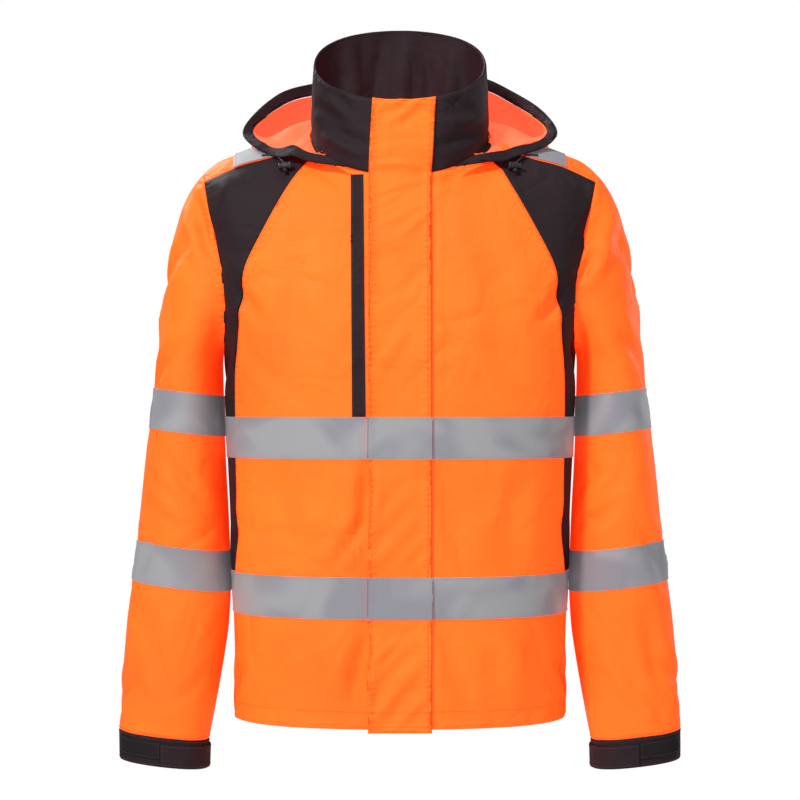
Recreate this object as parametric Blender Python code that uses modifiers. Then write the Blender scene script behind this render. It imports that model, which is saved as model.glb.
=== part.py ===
"""Hi-vis work jacket: orange cloth with black shoulders, collar and cuffs, grey reflective bands and a hood that is
thrown back, as it hangs on a wearer. Metres, +Z up, the front faces -Y. The origin is the middle of the neck seam.
The cloth is one set of middle surfaces, cut into panels at the seams, and each panel is a wall about its surface."""

import math

import bmesh
import bpy
import numpy as np
from mathutils import Matrix

# Cloth and bands
CLOTH = 0.0016
TAPE = 0.0010
SEAM_GAP = 0.0003

# Rings of the body from the hem up to the neck seam: half width, depth in front, depth behind, height at the side,
# in front and behind, squareness of the outline, and how far the ring lies in one sloping plane
BODY_RINGS = (
    (0.203, 0.138, 0.138, -0.717, -0.717, -0.717, 2.40, 0.0),
    (0.203, 0.139, 0.137, -0.640, -0.640, -0.640, 2.45, 0.0),
    (0.206, 0.141, 0.136, -0.550, -0.550, -0.550, 2.50, 0.0),
    (0.209, 0.142, 0.136, -0.460, -0.460, -0.460, 2.60, 0.0),
    (0.213, 0.143, 0.138, -0.373, -0.373, -0.373, 2.70, 0.0),
    (0.214, 0.142, 0.140, -0.310, -0.312, -0.310, 2.80, 0.0),
    (0.216, 0.140, 0.141, -0.250, -0.262, -0.250, 2.90, 0.0),
    (0.223, 0.135, 0.139, -0.190, -0.218, -0.192, 3.05, 0.0),
    (0.233, 0.129, 0.134, -0.130, -0.180, -0.132, 3.00, 0.0),
    (0.241, 0.122, 0.125, -0.080, -0.146, -0.072, 2.75, 0.0),
    (0.239, 0.115, 0.114, -0.042, -0.116, -0.025, 2.50, 0.1),
    (0.205, 0.108, 0.103, -0.025, -0.096, 0.006, 2.30, 0.3),
    (0.155, 0.100, 0.089, -0.011, -0.077, 0.030, 2.20, 0.6),
    (0.108, 0.092, 0.075, 0.000, -0.058, 0.050, 2.10, 1.0),
)
NECK = len(BODY_RINGS) - 1

# Rings of the collar from the neck seam up to its rim, in the same columns
COLLAR_RINGS = (
    (0.108, 0.092, 0.075, 0.000, -0.058, 0.050, 2.10, 1.0),
    (0.1110, 0.0935, 0.0765, 0.022, -0.036, 0.073, 2.10, 1.0),
    (0.1100, 0.0930, 0.0775, 0.045, -0.013, 0.096, 2.10, 1.0),
    (0.1085, 0.0910, 0.0780, 0.068, 0.010, 0.120, 2.10, 1.0),
    (0.1065, 0.0885, 0.0780, 0.091, 0.0325, 0.1435, 2.10, 1.0),
)

# Heights of the rows of points below the armpit; the bands lie between two of them each
HEM = -0.717
LOW_BAND = (-0.587, -0.537)
HIGH_BAND = (-0.398, -0.348)
ROW_HEIGHTS = (HEM, -0.696, -0.640, *LOW_BAND, -0.490, -0.444, *HIGH_BAND, -0.300)

# Front edge of the side panel: height, distance in front of the middle
SIDE_SEAM = (
    (-0.717, 0.035),
    (-0.587, 0.046),
    (-0.537, 0.051),
    (-0.444, 0.068),
    (-0.373, 0.075),
    (-0.300, 0.079),
    (-0.250, 0.090),
    (-0.205, 0.098),
    (-0.166, 0.102),
)
SIDE_SEAM_BACK = 0.036
YOKE_ROWS = (-0.250, -0.205, -0.166)
BEND_FADE = 3

# The slanting seam from the side seam up to the neck, and the seam in front of the shoulder: across, height
SLANT_TOP = (0.124, -0.050)
SLANT_ROWS = 5
SLANT_NECK_ANGLE = 65
SHOULDER_SEAM = ((0.200, -0.0435), (0.178, -0.0375), (0.151, -0.0315))
SHOULDER_NECK_ANGLE = 80
NECK_STEPS_BACK = 8

# Armhole: an egg seen from the side
ARMHOLE_MIDDLE = -0.158
ARMHOLE_HALF_HEIGHT = 0.112
ARMHOLE_FRONT = 0.072
ARMHOLE_BACK = 0.072
ARMHOLE_EGG = 0.22
AROUND = 24
FORWARD_POINT = 2
UNDERARM_FRONT = 9
UNDERARM_BACK = 14

# Sleeve rings from the upper arm down: height of the middle, outer side, inner side, half depth, middle's depth
SLEEVE_RINGS = (
    (-0.318, 0.3045, 0.2210, 0.085, 0.020),
    (-0.368, 0.3105, 0.2195, 0.0835, 0.018),
    (-0.410, 0.3160, 0.2175, 0.081, 0.016),
    (-0.457, 0.3205, 0.2145, 0.078, 0.013),
    (-0.507, 0.3250, 0.2120, 0.073, 0.010),
    (-0.557, 0.3310, 0.2105, 0.066, 0.006),
    (-0.603, 0.3370, 0.2130, 0.062, 0.003),
    (-0.652, 0.3410, 0.2205, 0.058, 0.000),
    (-0.700, 0.3440, 0.2290, 0.053, -0.003),
    (-0.739, 0.3465, 0.2365, 0.048, -0.005),
    (-0.757, 0.3465, 0.2370, 0.047, -0.006),
    (-0.775, 0.3460, 0.2375, 0.046, -0.006),
)
SLEEVE_SQUARE = 2.35
SLEEVE_TILT = 0.12
CUFF_RING = 9
SLEEVE_BANDS = ((0, 1), (4, 5))
CAP_STEPS = (0.0, 0.10, 0.24, 0.42, 0.60, 0.80)

# How the sleeve leaves the armhole at its top, front, bottom and back: outward, forward, upward, length there and
# length of the handle above the first ring
CAP_STARTS = (
    (0.78, 0.00, -0.62, 0.060, 0.118),
    (0.80, 0.35, -0.45, 0.040, 0.070),
    (0.72, 0.00, 0.69, 0.012, 0.030),
    (0.80, -0.35, -0.45, 0.040, 0.070),
)
CAP_CLEAR = 0.0055

# Storm flap over the middle, and the black pocket edging beside it on one side
FLAP_HALF_WIDTH = 0.0375
FLAP_COLUMNS = 3
FRONT_COLUMNS = 10
FLAP_BELOW_HEM = 0.004
FLAP_LEAN = 0.005
OPENING_HALF = 0.001
WELT_TOP = -0.0570
WELT_EDGES = ((0.0400, 0.0435), (0.0565, 0.0590))

# Bands from the shoulder seam down the back: inner and outer edge, each at the upper band and at the shoulder
BRACE_TOP = -0.030
BRACE_EDGES = ((0.132, 0.152), (0.182, 0.204))

# Half of the hood, from its front end round to the middle of the back: angle at the neck seam, angle and ring where
# its floor ends, how far its fold stands out there, how far its outer wall stands out, then the inner and the free
# edge of its black rim as across, back, up
HOOD_SECTIONS = (
    (57, 56, 12.88, 0.000, 0.000, (0.0900, -0.0770, -0.0290), (0.0640, -0.0960, -0.0470)),
    (63, 61, 12.75, 0.000, 0.000, (0.1090, -0.0690, -0.0250), (0.1020, -0.0840, -0.0390)),
    (70, 68, 12.60, 0.000, 0.000, (0.1285, -0.0520, -0.0150), (0.1260, -0.0700, -0.0320)),
    (80, 77, 12.45, 0.000, 0.000, (0.1500, -0.0340, -0.0120), (0.1520, -0.0500, -0.0240)),
    (90, 88, 12.25, 0.002, 0.000, (0.1710, -0.0110, -0.0070), (0.1790, -0.0230, -0.0150)),
    (100, 98, 12.00, 0.004, 0.000, (0.1820, 0.0130, 0.0015), (0.1960, 0.0080, -0.0005)),
    (112, 109, 11.60, 0.012, 0.003, (0.1835, 0.0380, 0.0145), (0.1955, 0.0290, 0.0170)),
    (125, 123, 10.90, 0.026, 0.007, (0.1630, 0.0700, 0.0365), (0.1710, 0.0680, 0.0500)),
    (140, 139, 9.70, 0.044, 0.017, (0.1285, 0.1060, 0.0580), (0.1290, 0.1140, 0.0755)),
    (155, 155, 8.50, 0.056, 0.028, (0.0900, 0.1300, 0.0700), (0.0900, 0.1390, 0.0880)),
    (168, 168, 8.20, 0.062, 0.030, (0.0450, 0.1430, 0.0760), (0.0450, 0.1520, 0.0940)),
    (180, 180, 8.10, 0.064, 0.030, (0.0000, 0.1480, 0.0780), (0.0000, 0.1570, 0.0960)),
)
HOOD_COLUMNS = 16
HOOD_FLOOR_ROWS = 6
HOOD_WALL_ROWS = 5
HOOD_LIFT = 0.0062
HOOD_LIFT_AT_NECK = 0.0026

# Cuff tab and its loop patch: first and last place round the sleeve, and share of the cuff's height
TAB_PLACES = (6, 17)
TAB_HEIGHT = (0.20, 0.97)
PATCH_PLACES = (2, 6)
PATCH_HEIGHT = (0.16, 0.74)

# Cord locks under the hood's rim, and the elastic's way to them as across, height, height above the cloth
LOCK_PLACE = (0.1390, -0.0450)
LOCK_RADIUS = 0.0046
LOCK_LENGTH = 0.0160
CORD_DIAMETER = 0.0022
CORD_PLACES = (
    (0.1690, -0.0290, 0.0037),
    (0.1640, -0.0285, 0.0037),
    (0.1590, -0.0283, 0.0037),
    (0.1540, -0.0285, 0.0039),
    (0.1503, -0.0305, 0.0043),
    (0.1475, -0.0335, 0.0046),
    (0.1450, -0.0365, 0.0052),
)
CORD_END_RADIUS = 0.0030

ORANGE = (1.0, 0.22, 0.03, 1.0)
BLACK = (0.030, 0.022, 0.025, 1.0)
SILVER = (0.40, 0.40, 0.42, 1.0)
PLASTIC = (0.012, 0.012, 0.013, 1.0)


def clear_scene():
    for item in list(bpy.data.objects):
        bpy.data.objects.remove(item, do_unlink=True)


def new_collection(name):
    group = bpy.data.collections.new(name)
    bpy.context.scene.collection.children.link(group)
    return group


def make_material(name, colour, roughness, metallic=0.0):
    material = bpy.data.materials.new(name)
    material.use_nodes = True
    shader = material.node_tree.nodes["Principled BSDF"]
    shader.inputs["Base Color"].default_value = colour
    shader.inputs["Roughness"].default_value = roughness
    shader.inputs["Metallic"].default_value = metallic
    return material


def along_rows(table, place):
    """The row at a place between 0 and the last, on a smooth curve through the rows."""
    rows = np.array(table)
    rows = np.vstack([2 * rows[0] - rows[1], rows, 2 * rows[-1] - rows[-2]])
    start = min(max(int(place), 0), len(table) - 2)
    share = place - start
    before, here, there, after = rows[start : start + 4]
    bend = 2 * before - 5 * here + 4 * there - after
    twist = 3 * (here - there) + after - before
    return here + 0.5 * share * (there - before + share * (bend + share * twist))


def ring_point(row, angle):
    """A point of a ring; the angle is 0 in front and 90 degrees at the +X side."""
    width, front, back, side_z, front_z, back_z, square, planar = row
    across, ahead = math.sin(angle), math.cos(angle)
    reach = (abs(across) ** square + abs(ahead) ** square) ** (1 / square)
    across, ahead = across / reach, ahead / reach
    depth, end_z = (front, front_z) if ahead > 0 else (back, back_z)
    rounded = (end_z - side_z) * ahead**2
    sloped = (front_z - back_z) / 2 * ahead + ((front_z + back_z) / 2 - side_z) * ahead**2
    return np.array((width * across, -depth * ahead, side_z + rounded + planar * (sloped - rounded)))


def body(angle, level):
    return ring_point(along_rows(BODY_RINGS, level), angle)


def find_on_body(start, axes, target):
    """The angle and level of the body's point that has the target's two coordinates."""
    place = np.array(start, float)
    target = np.array(target)
    step = 1e-5
    for _ in range(40):
        here = body(*place)[axes]
        miss = target - here
        if abs(miss).max() < 1e-7:
            break
        by_angle = (body(place[0] + step, place[1])[axes] - here) / step
        by_level = (body(place[0], place[1] + step)[axes] - here) / step
        move = np.linalg.solve(np.column_stack((by_angle, by_level)), miss)
        place += np.clip(move, (-0.2, -1.0), (0.2, 1.0))
        place[1] = min(max(place[1], 0.0), NECK)
    return place


def front_place(across, height):
    return find_on_body((math.radians(45), 9.0), [0, 2], (across, height))


def side_place(back, height):
    return find_on_body((math.radians(90), 6.0), [1, 2], (back, height))


def middle_place(height, angle):
    """The place at a height on the line down the middle of the front (angle 0) or back (180 degrees)."""
    low, high = 0.0, float(NECK)
    for _ in range(40):
        middle = (low + high) / 2
        if body(angle, middle)[2] < height:
            low = middle
        else:
            high = middle
    return np.array((angle, low))


def lerp(first, second, share):
    return first + (second - first) * share


def armhole_place(index):
    turn = math.radians(360 / AROUND * index)
    reach = ARMHOLE_FRONT if math.sin(turn) > 0 else ARMHOLE_BACK
    back = -reach * math.sin(turn) * (1 - ARMHOLE_EGG * math.cos(turn))
    return side_place(back, ARMHOLE_MIDDLE + ARMHOLE_HALF_HEIGHT * math.cos(turn))


def seam_depth(height):
    heights, depths = zip(*SIDE_SEAM)
    return float(np.interp(height, heights, depths))


class Surface:
    """The middle surfaces of the cloth, whose grids share their points along the seams."""

    def __init__(self):
        self.points = []
        self.numbers = {}
        self.faces = {}
        self.normals = None

    def number(self, point):
        key = tuple(int(round(v * 1e5)) for v in point)
        if key not in self.numbers:
            self.numbers[key] = len(self.points)
            self.points.append(np.array(point, float))
        return self.numbers[key]

    def add(self, piece, grid, mirrored=False):
        """Adds the quads of a grid of points and returns their numbers, row by row."""
        side = np.array((-1, 1, 1)) if mirrored else np.ones(3)
        numbers = [[self.number(point * side) for point in row] for row in grid]
        quads = self.faces.setdefault(piece, [])
        for low, high in zip(numbers, numbers[1:]):
            for k in range(len(low) - 1):
                quad = [low[k], low[k + 1], high[k + 1], high[k]]
                corners = list(dict.fromkeys(quad))
                if len(corners) > 2:
                    quads.append(corners[::-1] if mirrored else corners)
        return numbers

    def find_normals(self):
        """One normal for each point, from all the pieces that meet there."""
        sums = np.zeros((len(self.points), 3))
        for quads in self.faces.values():
            for corners in quads:
                ring = [self.points[k] for k in corners]
                normal = sum(np.cross(a, b) for a, b in zip(ring, ring[1:] + ring[:1]))
                normal = normal / np.linalg.norm(normal)
                for k in corners:
                    sums[k] += normal
        self.normals = sums / np.linalg.norm(sums, axis=1)[:, None]


def inset(points, normals, quads, distance):
    """Moves the outline of the quads inward by a distance and returns the moved points by number."""
    edges = {}
    for corners in quads:
        for a, b in zip(corners, corners[1:] + corners[:1]):
            edges[(a, b)] = True
    inward = {}
    for a, b in edges:
        if (b, a) in edges:
            continue
        along = points[b] - points[a]
        for end in (a, b):
            side = np.cross(normals[end], along)
            inward.setdefault(end, []).append(side / np.linalg.norm(side))
    moved = {k: points[k] for corners in quads for k in corners}
    for k, sides in inward.items():
        total = sum(sides[:2])
        moved[k] = points[k] + total * (distance / max(1 + float(np.dot(*sides[:2])), 0.3))
    return moved


def split(points, corners):
    """Two triangles along a quad's shorter diagonal, so that what lies on a panel is folded as the panel is."""
    if len(corners) == 3:
        return [corners]
    a, b, c, d = corners
    if np.linalg.norm(points[a] - points[c]) <= np.linalg.norm(points[b] - points[d]) + 1e-6:
        return [[a, b, c], [a, c, d]]
    return [[a, b, d], [b, c, d]]


def wall(name, points, normals, quads, below, above, material, group, trim=SEAM_GAP / 2):
    """A closed wall between two distances from a middle surface."""
    moved = inset(points, normals, quads, trim)
    mesh = bmesh.new()
    under, over = {}, {}
    for k, point in moved.items():
        under[k] = mesh.verts.new(point + normals[k] * below)
        over[k] = mesh.verts.new(point + normals[k] * above)
    edges = set()
    for corners in quads:
        for triangle in split(points, corners):
            mesh.faces.new([over[k] for k in triangle])
            mesh.faces.new([under[k] for k in reversed(triangle)])
        edges.update(zip(corners, corners[1:] + corners[:1]))
    for a, b in sorted(edges):
        if (b, a) not in edges:
            mesh.faces.new((over[b], over[a], under[a], under[b]))
    return finish(name, mesh, material, group)


def finish(name, mesh, material, group):
    data = bpy.data.meshes.new(name)
    mesh.to_mesh(data)
    mesh.free()
    data.shade_smooth()
    data.set_sharp_from_angle(angle=math.radians(50))
    data.materials.append(material)
    item = bpy.data.objects.new(name, data)
    group.objects.link(item)
    return item


def points_at(places):
    return [[body(*place) for place in row] for row in places]


def front_places():
    """Rows of the front panel from the hem up, from the opening out to the side seam and the slanting seam."""
    corner = seam_depth(YOKE_ROWS[-1])
    low = body(*side_place(-corner, YOKE_ROWS[-1]))
    ends = [(z, side_place(-seam_depth(z), z)) for z in (*ROW_HEIGHTS, *YOKE_ROWS)]
    ends = [(middle_place(z, 0.0)[1], end) for z, end in ends]
    middle_low = ends[-1][0]
    for k in range(1, SLANT_ROWS):
        share = k / (SLANT_ROWS - 1)
        across = lerp(low[0], SLANT_TOP[0], share)
        height = lerp(low[2], SLANT_TOP[1], share)
        level = lerp(middle_low, NECK, k / SLANT_ROWS)
        ends.append((level, front_place(across, height)))
    ends.append((NECK, np.array((math.radians(SLANT_NECK_ANGLE), NECK))))
    rows = []
    for level, end in ends:
        flap = edge_angle(level, FLAP_HALF_WIDTH)
        angles = list(np.linspace(edge_angle(level, OPENING_HALF), flap, FLAP_COLUMNS + 1))
        angles += list(np.linspace(flap, end[0], FRONT_COLUMNS - FLAP_COLUMNS + 1))[1:]
        rows.append([np.array((angle, lerp(level, end[1], (angle / end[0]) ** 2))) for angle in angles])
    return rows


def edge_angle(level, across):
    """The angle in front at which a ring is a given distance from the middle."""
    row = along_rows(BODY_RINGS, level)
    share = across / row[0]
    return math.atan2(share, (1 - share ** row[6]) ** (1 / row[6]))


def shoulder_seam_places():
    """From the neck seam out to the armhole."""
    seam = [np.array((math.radians(SHOULDER_NECK_ANGLE), NECK))]
    seam += [front_place(*point) for point in reversed(SHOULDER_SEAM)]
    return seam + [armhole_place(FORWARD_POINT)]


def coons(low, high, left, right):
    """A grid between four rows of places that meet at the corners; the bends of low and high fade quickly."""
    grid = []
    for i, (start, end) in enumerate(zip(left, right)):
        v = i / (len(left) - 1)
        row = []
        for k, (under, over) in enumerate(zip(low, high)):
            u = k / (len(low) - 1)
            low_bend = under - lerp(low[0], low[-1], u)
            high_bend = over - lerp(high[0], high[-1], u)
            row.append(lerp(start, end, u) + low_bend * (1 - v) ** BEND_FADE + high_bend * v**BEND_FADE)
        grid.append(row)
    return grid


def shoulder_side_places(front):
    """The strip under the arm and the panel over the shoulder, as two grids that share a row."""
    neck = [np.array((math.radians(a), NECK)) for a in (SLANT_NECK_ANGLE, 72.5, SHOULDER_NECK_ANGLE)]
    top = neck + shoulder_seam_places()[1:]
    seam = [row[-1] for row in front]
    first = len(ROW_HEIGHTS)
    shared = [lerp(seam[first], armhole_place(UNDERARM_FRONT), k / 6) for k in range(7)]
    armhole = [armhole_place(k) for k in range(UNDERARM_FRONT, FORWARD_POINT - 1, -1)]
    upper = coons(shared, top, seam[first:], armhole)
    under = shared + [armhole_place(k) for k in range(UNDERARM_FRONT + 1, UNDERARM_BACK + 1)]
    strip = []
    for z, start in zip(ROW_HEIGHTS, seam):
        end = side_place(SIDE_SEAM_BACK, z)
        strip.append([lerp(start, end, k / (len(under) - 1)) for k in range(len(under))])
    return strip, under, upper


def back_places():
    """Half of the back panel from its side out to the middle, from the hem up to the neck and shoulder seams."""
    half = 4 + NECK_STEPS_BACK
    straight = math.radians(180)
    rows = []
    for z in ROW_HEIGHTS:
        start, end = side_place(SIDE_SEAM_BACK, z), middle_place(z, straight)
        rows.append([lerp(start, end, k / half) for k in range(half + 1)])
    armhole = [armhole_place(k) for k in range(UNDERARM_BACK, AROUND + FORWARD_POINT + 1)]
    middle_low = middle_place(body(*armhole[0])[2], straight)
    middle = [lerp(middle_low, np.array((straight, NECK)), k / (len(armhole) - 1)) for k in range(len(armhole))]
    low = [lerp(armhole[0], middle_low, k / half) for k in range(half + 1)]
    high = shoulder_seam_places()[::-1]
    for k in range(1, NECK_STEPS_BACK + 1):
        angle = lerp(SHOULDER_NECK_ANGLE, 180, k / NECK_STEPS_BACK)
        high.append(np.array((math.radians(angle), NECK)))
    return rows + coons(low, high, armhole, middle)


def sleeve_ring(ring, turn):
    height, outer, inner, half_depth, middle = along_rows(SLEEVE_RINGS, ring)
    out, ahead = math.cos(turn), math.sin(turn)
    reach = (abs(out) ** SLEEVE_SQUARE + abs(ahead) ** SLEEVE_SQUARE) ** (1 / SLEEVE_SQUARE)
    across = (outer - inner) / 2 * out / reach
    return np.array(((outer + inner) / 2 + across, middle - half_depth * ahead / reach, height + SLEEVE_TILT * across))


def cap_start(turn):
    """The row of CAP_STARTS at a turn, on a smooth closed curve through them."""
    rows = np.array(CAP_STARTS)
    place = turn / math.radians(90)
    low = int(place) % 4
    share = (1 - math.cos(math.pi * (place - int(place)))) / 2
    return lerp(rows[low], rows[(low + 1) % 4], share)


def body_side(point):
    """How far out the body's side is beside a point."""
    return body(*side_place(point[1], point[2]))[0]


def sleeve_points():
    """Rows of the sleeve from the armhole down to the cuff's edge."""
    rows = []
    for step in CAP_STEPS:
        row = []
        for k in range(AROUND):
            turn = math.radians(360 / AROUND * k)
            start = body(*armhole_place(k))
            if step == 0:
                row.append(start)
                continue
            out, ahead, up, length, handle = cap_start(turn)
            end, below = sleeve_ring(0, turn), sleeve_ring(0.5, turn)
            leave = start + np.array((out, -ahead, up)) * length
            arrive = end + (end - below) / np.linalg.norm(end - below) * handle
            rest = 1 - step
            point = rest**3 * start + 3 * rest**2 * step * leave + 3 * rest * step**2 * arrive + step**3 * end
            if point[2] < ARMHOLE_MIDDLE:
                clear = CAP_CLEAR * min(1.0, step / 0.24)
                point[0] = max(point[0], body_side(point) + clear)
            row.append(point)
        rows.append(row)
    for ring in range(len(SLEEVE_RINGS)):
        rows.append([sleeve_ring(ring, math.radians(360 / AROUND * k)) for k in range(AROUND)])
    return [row + row[:1] for row in rows]


def neck_angles():
    """Angles of the neck seam's points on one side, from the opening round to the middle of the back."""
    flap = edge_angle(NECK, FLAP_HALF_WIDTH)
    angles = list(np.linspace(edge_angle(NECK, OPENING_HALF), flap, FLAP_COLUMNS + 1))
    slant = math.radians(SLANT_NECK_ANGLE)
    angles += list(np.linspace(flap, slant, FRONT_COLUMNS - FLAP_COLUMNS + 1))[1:]
    angles += [math.radians(72.5), math.radians(SHOULDER_NECK_ANGLE)]
    return angles + list(np.linspace(math.radians(SHOULDER_NECK_ANGLE), math.pi, NECK_STEPS_BACK + 1))[1:]


def collar_points():
    return [[ring_point(row, angle) for angle in neck_angles()] for row in COLLAR_RINGS]


def body_normal(angle, level):
    step = 1e-4
    level = min(level, NECK - step)
    by_angle = body(angle + step, level) - body(angle - step, level)
    by_level = body(angle, level + step) - body(angle, level)
    normal = np.cross(by_angle, by_level)
    return normal / np.linalg.norm(normal)


def hood_section(place):
    """Points of the hood from the neck seam over its floor, round its fold and up to its rim's free edge."""
    rows = np.array([(*row[:5], *row[5], *row[6]) for row in HOOD_SECTIONS])
    row = along_rows(rows, place)
    neck, floor_angle, floor_level = math.radians(row[0]), math.radians(row[1]), row[2]
    inner_edge, free_edge = row[5:8], row[8:11]
    points = []
    for k in range(HOOD_FLOOR_ROWS + 1):
        share = k / HOOD_FLOOR_ROWS
        angle, level = lerp(neck, floor_angle, share), lerp(NECK - 0.05, floor_level, share)
        lift = lerp(HOOD_LIFT_AT_NECK, HOOD_LIFT, min(1, 2 * share))
        points.append(body(angle, level) + body_normal(angle, level) * lift)
    start = points[-1]
    out = body_normal(floor_angle, floor_level) * (1, 1, 0)
    out = out / np.linalg.norm(out)
    leave = lerp(start, inner_edge, 0.10) + row[3] * (0.8 * out + np.array((0, 0, -0.9)))
    arrive = lerp(inner_edge, start, 0.35) + row[4] * out
    for k in range(1, HOOD_WALL_ROWS + 1):
        t = k / HOOD_WALL_ROWS
        r = 1 - t
        points.append(r**3 * start + 3 * r * r * t * leave + 3 * r * t * t * arrive + t**3 * inner_edge)
    return points + [lerp(inner_edge, free_edge, 0.5), free_edge]


def hood_points():
    """Rows from the neck seam to the free edge, from the front end to the middle of the back."""
    last = len(HOOD_SECTIONS) - 1
    columns = [hood_section(last * k / HOOD_COLUMNS) for k in range(HOOD_COLUMNS + 1)]
    return [list(row) for row in zip(*columns)]


def quads_of(numbers, rows, columns):
    """The quads of a part of a grid of numbers."""
    quads = []
    for i in range(*rows):
        for k in range(*columns):
            low, high = numbers[i], numbers[i + 1]
            quads.append([low[k], low[k + 1], high[k + 1], high[k]])
    return quads


def turned(quads, mirrored):
    return [corners[::-1] for corners in quads] if mirrored else quads


def make_surface():
    """All the cloth's middle surfaces, with the numbers of each grid's points by name."""
    surface = Surface()
    grids = {}
    front = front_places()
    strip, under, upper = shoulder_side_places(front)
    split = ROW_HEIGHTS.index(LOW_BAND[1])
    back = back_places()
    sleeve = sleeve_points()
    hood = hood_points()
    collar = collar_points()
    rim = HOOD_FLOOR_ROWS + HOOD_WALL_ROWS
    cuff = len(CAP_STEPS) + CUFF_RING
    for side, mirrored in (("left", False), ("right", True)):
        grids["front", side] = surface.add("front_" + side, points_at(front), mirrored)
        grids["low", side] = surface.add("side_lower_" + side, points_at(strip[: split + 1]), mirrored)
        grids["strip", side] = surface.add("shoulder_side_" + side, points_at(strip[split:] + [under]), mirrored)
        surface.add("shoulder_side_" + side, points_at(upper), mirrored)
        grids["back", side] = surface.add("back", points_at(back), mirrored)
        grids["sleeve", side] = surface.add("sleeve_" + side, sleeve[: cuff + 1], mirrored)
        grids["cuff", side] = surface.add("cuff_" + side, sleeve[cuff:], mirrored)
        grids["collar", side] = surface.add("collar", collar, mirrored)
        surface.add("hood", hood[: rim + 1], mirrored)
        surface.add("hood_rim", hood[rim:], mirrored)
    surface.find_normals()
    return surface, grids


def make_cloth(surface, orange, black, group):
    for piece, quads in surface.faces.items():
        dark = piece.startswith(("shoulder_side", "collar", "cuff", "hood_rim"))
        material = black if dark else orange
        folded = piece.startswith(("sleeve", "collar", "shoulder_side", "hood_rim"))
        trim = 1.5 * SEAM_GAP if folded else SEAM_GAP / 2
        wall(piece, surface.points, surface.normals, quads, -CLOTH / 2, CLOTH / 2, material, group, trim)


def make_bands(surface, grids, material, group):
    """The reflective bands round the body and the sleeves, each laid on its own panel."""
    below = CLOTH / 2 + SEAM_GAP
    above = below + TAPE

    def band(name, quads):
        wall(name, surface.points, surface.normals, quads, below, above, material, group)

    for height, name in ((LOW_BAND[0], "lower"), (HIGH_BAND[0], "upper")):
        row = ROW_HEIGHTS.index(height)
        rows = (row, row + 1)
        split = ROW_HEIGHTS.index(LOW_BAND[1])
        behind = []
        for side, mirrored in (("left", False), ("right", True)):
            front = grids["front", side]
            quads = quads_of(front, rows, (FLAP_COLUMNS, FRONT_COLUMNS))
            band(f"band_{name}_front_{side}", turned(quads, mirrored))
            strip = grids["low", side] if name == "lower" else grids["strip", side]
            at = rows if name == "lower" else (row - split, row + 1 - split)
            band(f"band_{name}_side_{side}", turned(quads_of(strip, at, (0, len(strip[0]) - 1)), mirrored))
            back = grids["back", side]
            behind += turned(quads_of(back, rows, (0, len(back[0]) - 1)), mirrored)
        band(f"band_{name}_back", behind)
    for side, mirrored in (("left", False), ("right", True)):
        sleeve = grids["sleeve", side]
        for (first, last), name in zip(SLEEVE_BANDS, ("upper", "lower")):
            rows = (len(CAP_STEPS) + first, len(CAP_STEPS) + last)
            band(f"band_{name}_sleeve_{side}", turned(quads_of(sleeve, rows, (0, AROUND)), mirrored))


def laid_on(name, rows, normals, below, above, material, group, flipped=False):
    """A wall over a grid of points of its own, with a normal for each."""
    points = [point for row in rows for point in row]
    flat_normals = [normal / np.linalg.norm(normal) for row in normals for normal in row]
    width = len(rows[0])
    numbers = [list(range(i * width, (i + 1) * width)) for i in range(len(rows))]
    quads = turned(quads_of(numbers, (0, len(rows) - 1), (0, width - 1)), flipped)
    return wall(name, points, flat_normals, quads, below, above, material, group)


def crossing(surface, numbers, across):
    """The point and normal where a row of points crosses a place across the jacket."""
    for a, b in zip(numbers, numbers[1:]):
        start, end = surface.points[a], surface.points[b]
        if (start[0] - across) * (end[0] - across) <= 0 and a != b:
            share = (across - start[0]) / (end[0] - start[0])
            return lerp(start, end, share), lerp(surface.normals[a], surface.normals[b], share)
    return None


def make_flap(surface, grids, orange, silver, group):
    """The storm flap, over both fronts and the collar, and its two pieces of band."""
    left = grids["front", "left"] + grids["collar", "left"][1:]
    right = grids["front", "right"] + grids["collar", "right"][1:]
    points, normals = [], []
    neck = len(grids["front", "left"]) - 1
    for i, (one, other) in enumerate(zip(left, right)):
        lean = FLAP_LEAN * max(0, i - neck) / (len(left) - 1 - neck)
        line = other[: FLAP_COLUMNS + 2][::-1] + one[: FLAP_COLUMNS + 2]
        edges = [-FLAP_HALF_WIDTH + lean + k * FLAP_HALF_WIDTH / FLAP_COLUMNS for k in range(2 * FLAP_COLUMNS + 1)]
        found = [crossing(surface, line, across) for across in edges]
        points.append([point for point, _ in found])
        normals.append([normal for _, normal in found])
    points[0] = [point - np.array((0, 0, FLAP_BELOW_HEM)) for point in points[0]]
    below = CLOTH / 2 + SEAM_GAP
    above = below + CLOTH
    laid_on("storm_flap", points, normals, below, above, orange, group)
    for height, name in ((LOW_BAND[0], "lower"), (HIGH_BAND[0], "upper")):
        row = ROW_HEIGHTS.index(height)
        rows, row_normals = points[row : row + 2], normals[row : row + 2]
        low = above + SEAM_GAP
        laid_on(f"band_{name}_flap", rows, row_normals, low, low + TAPE, silver, group)


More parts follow.
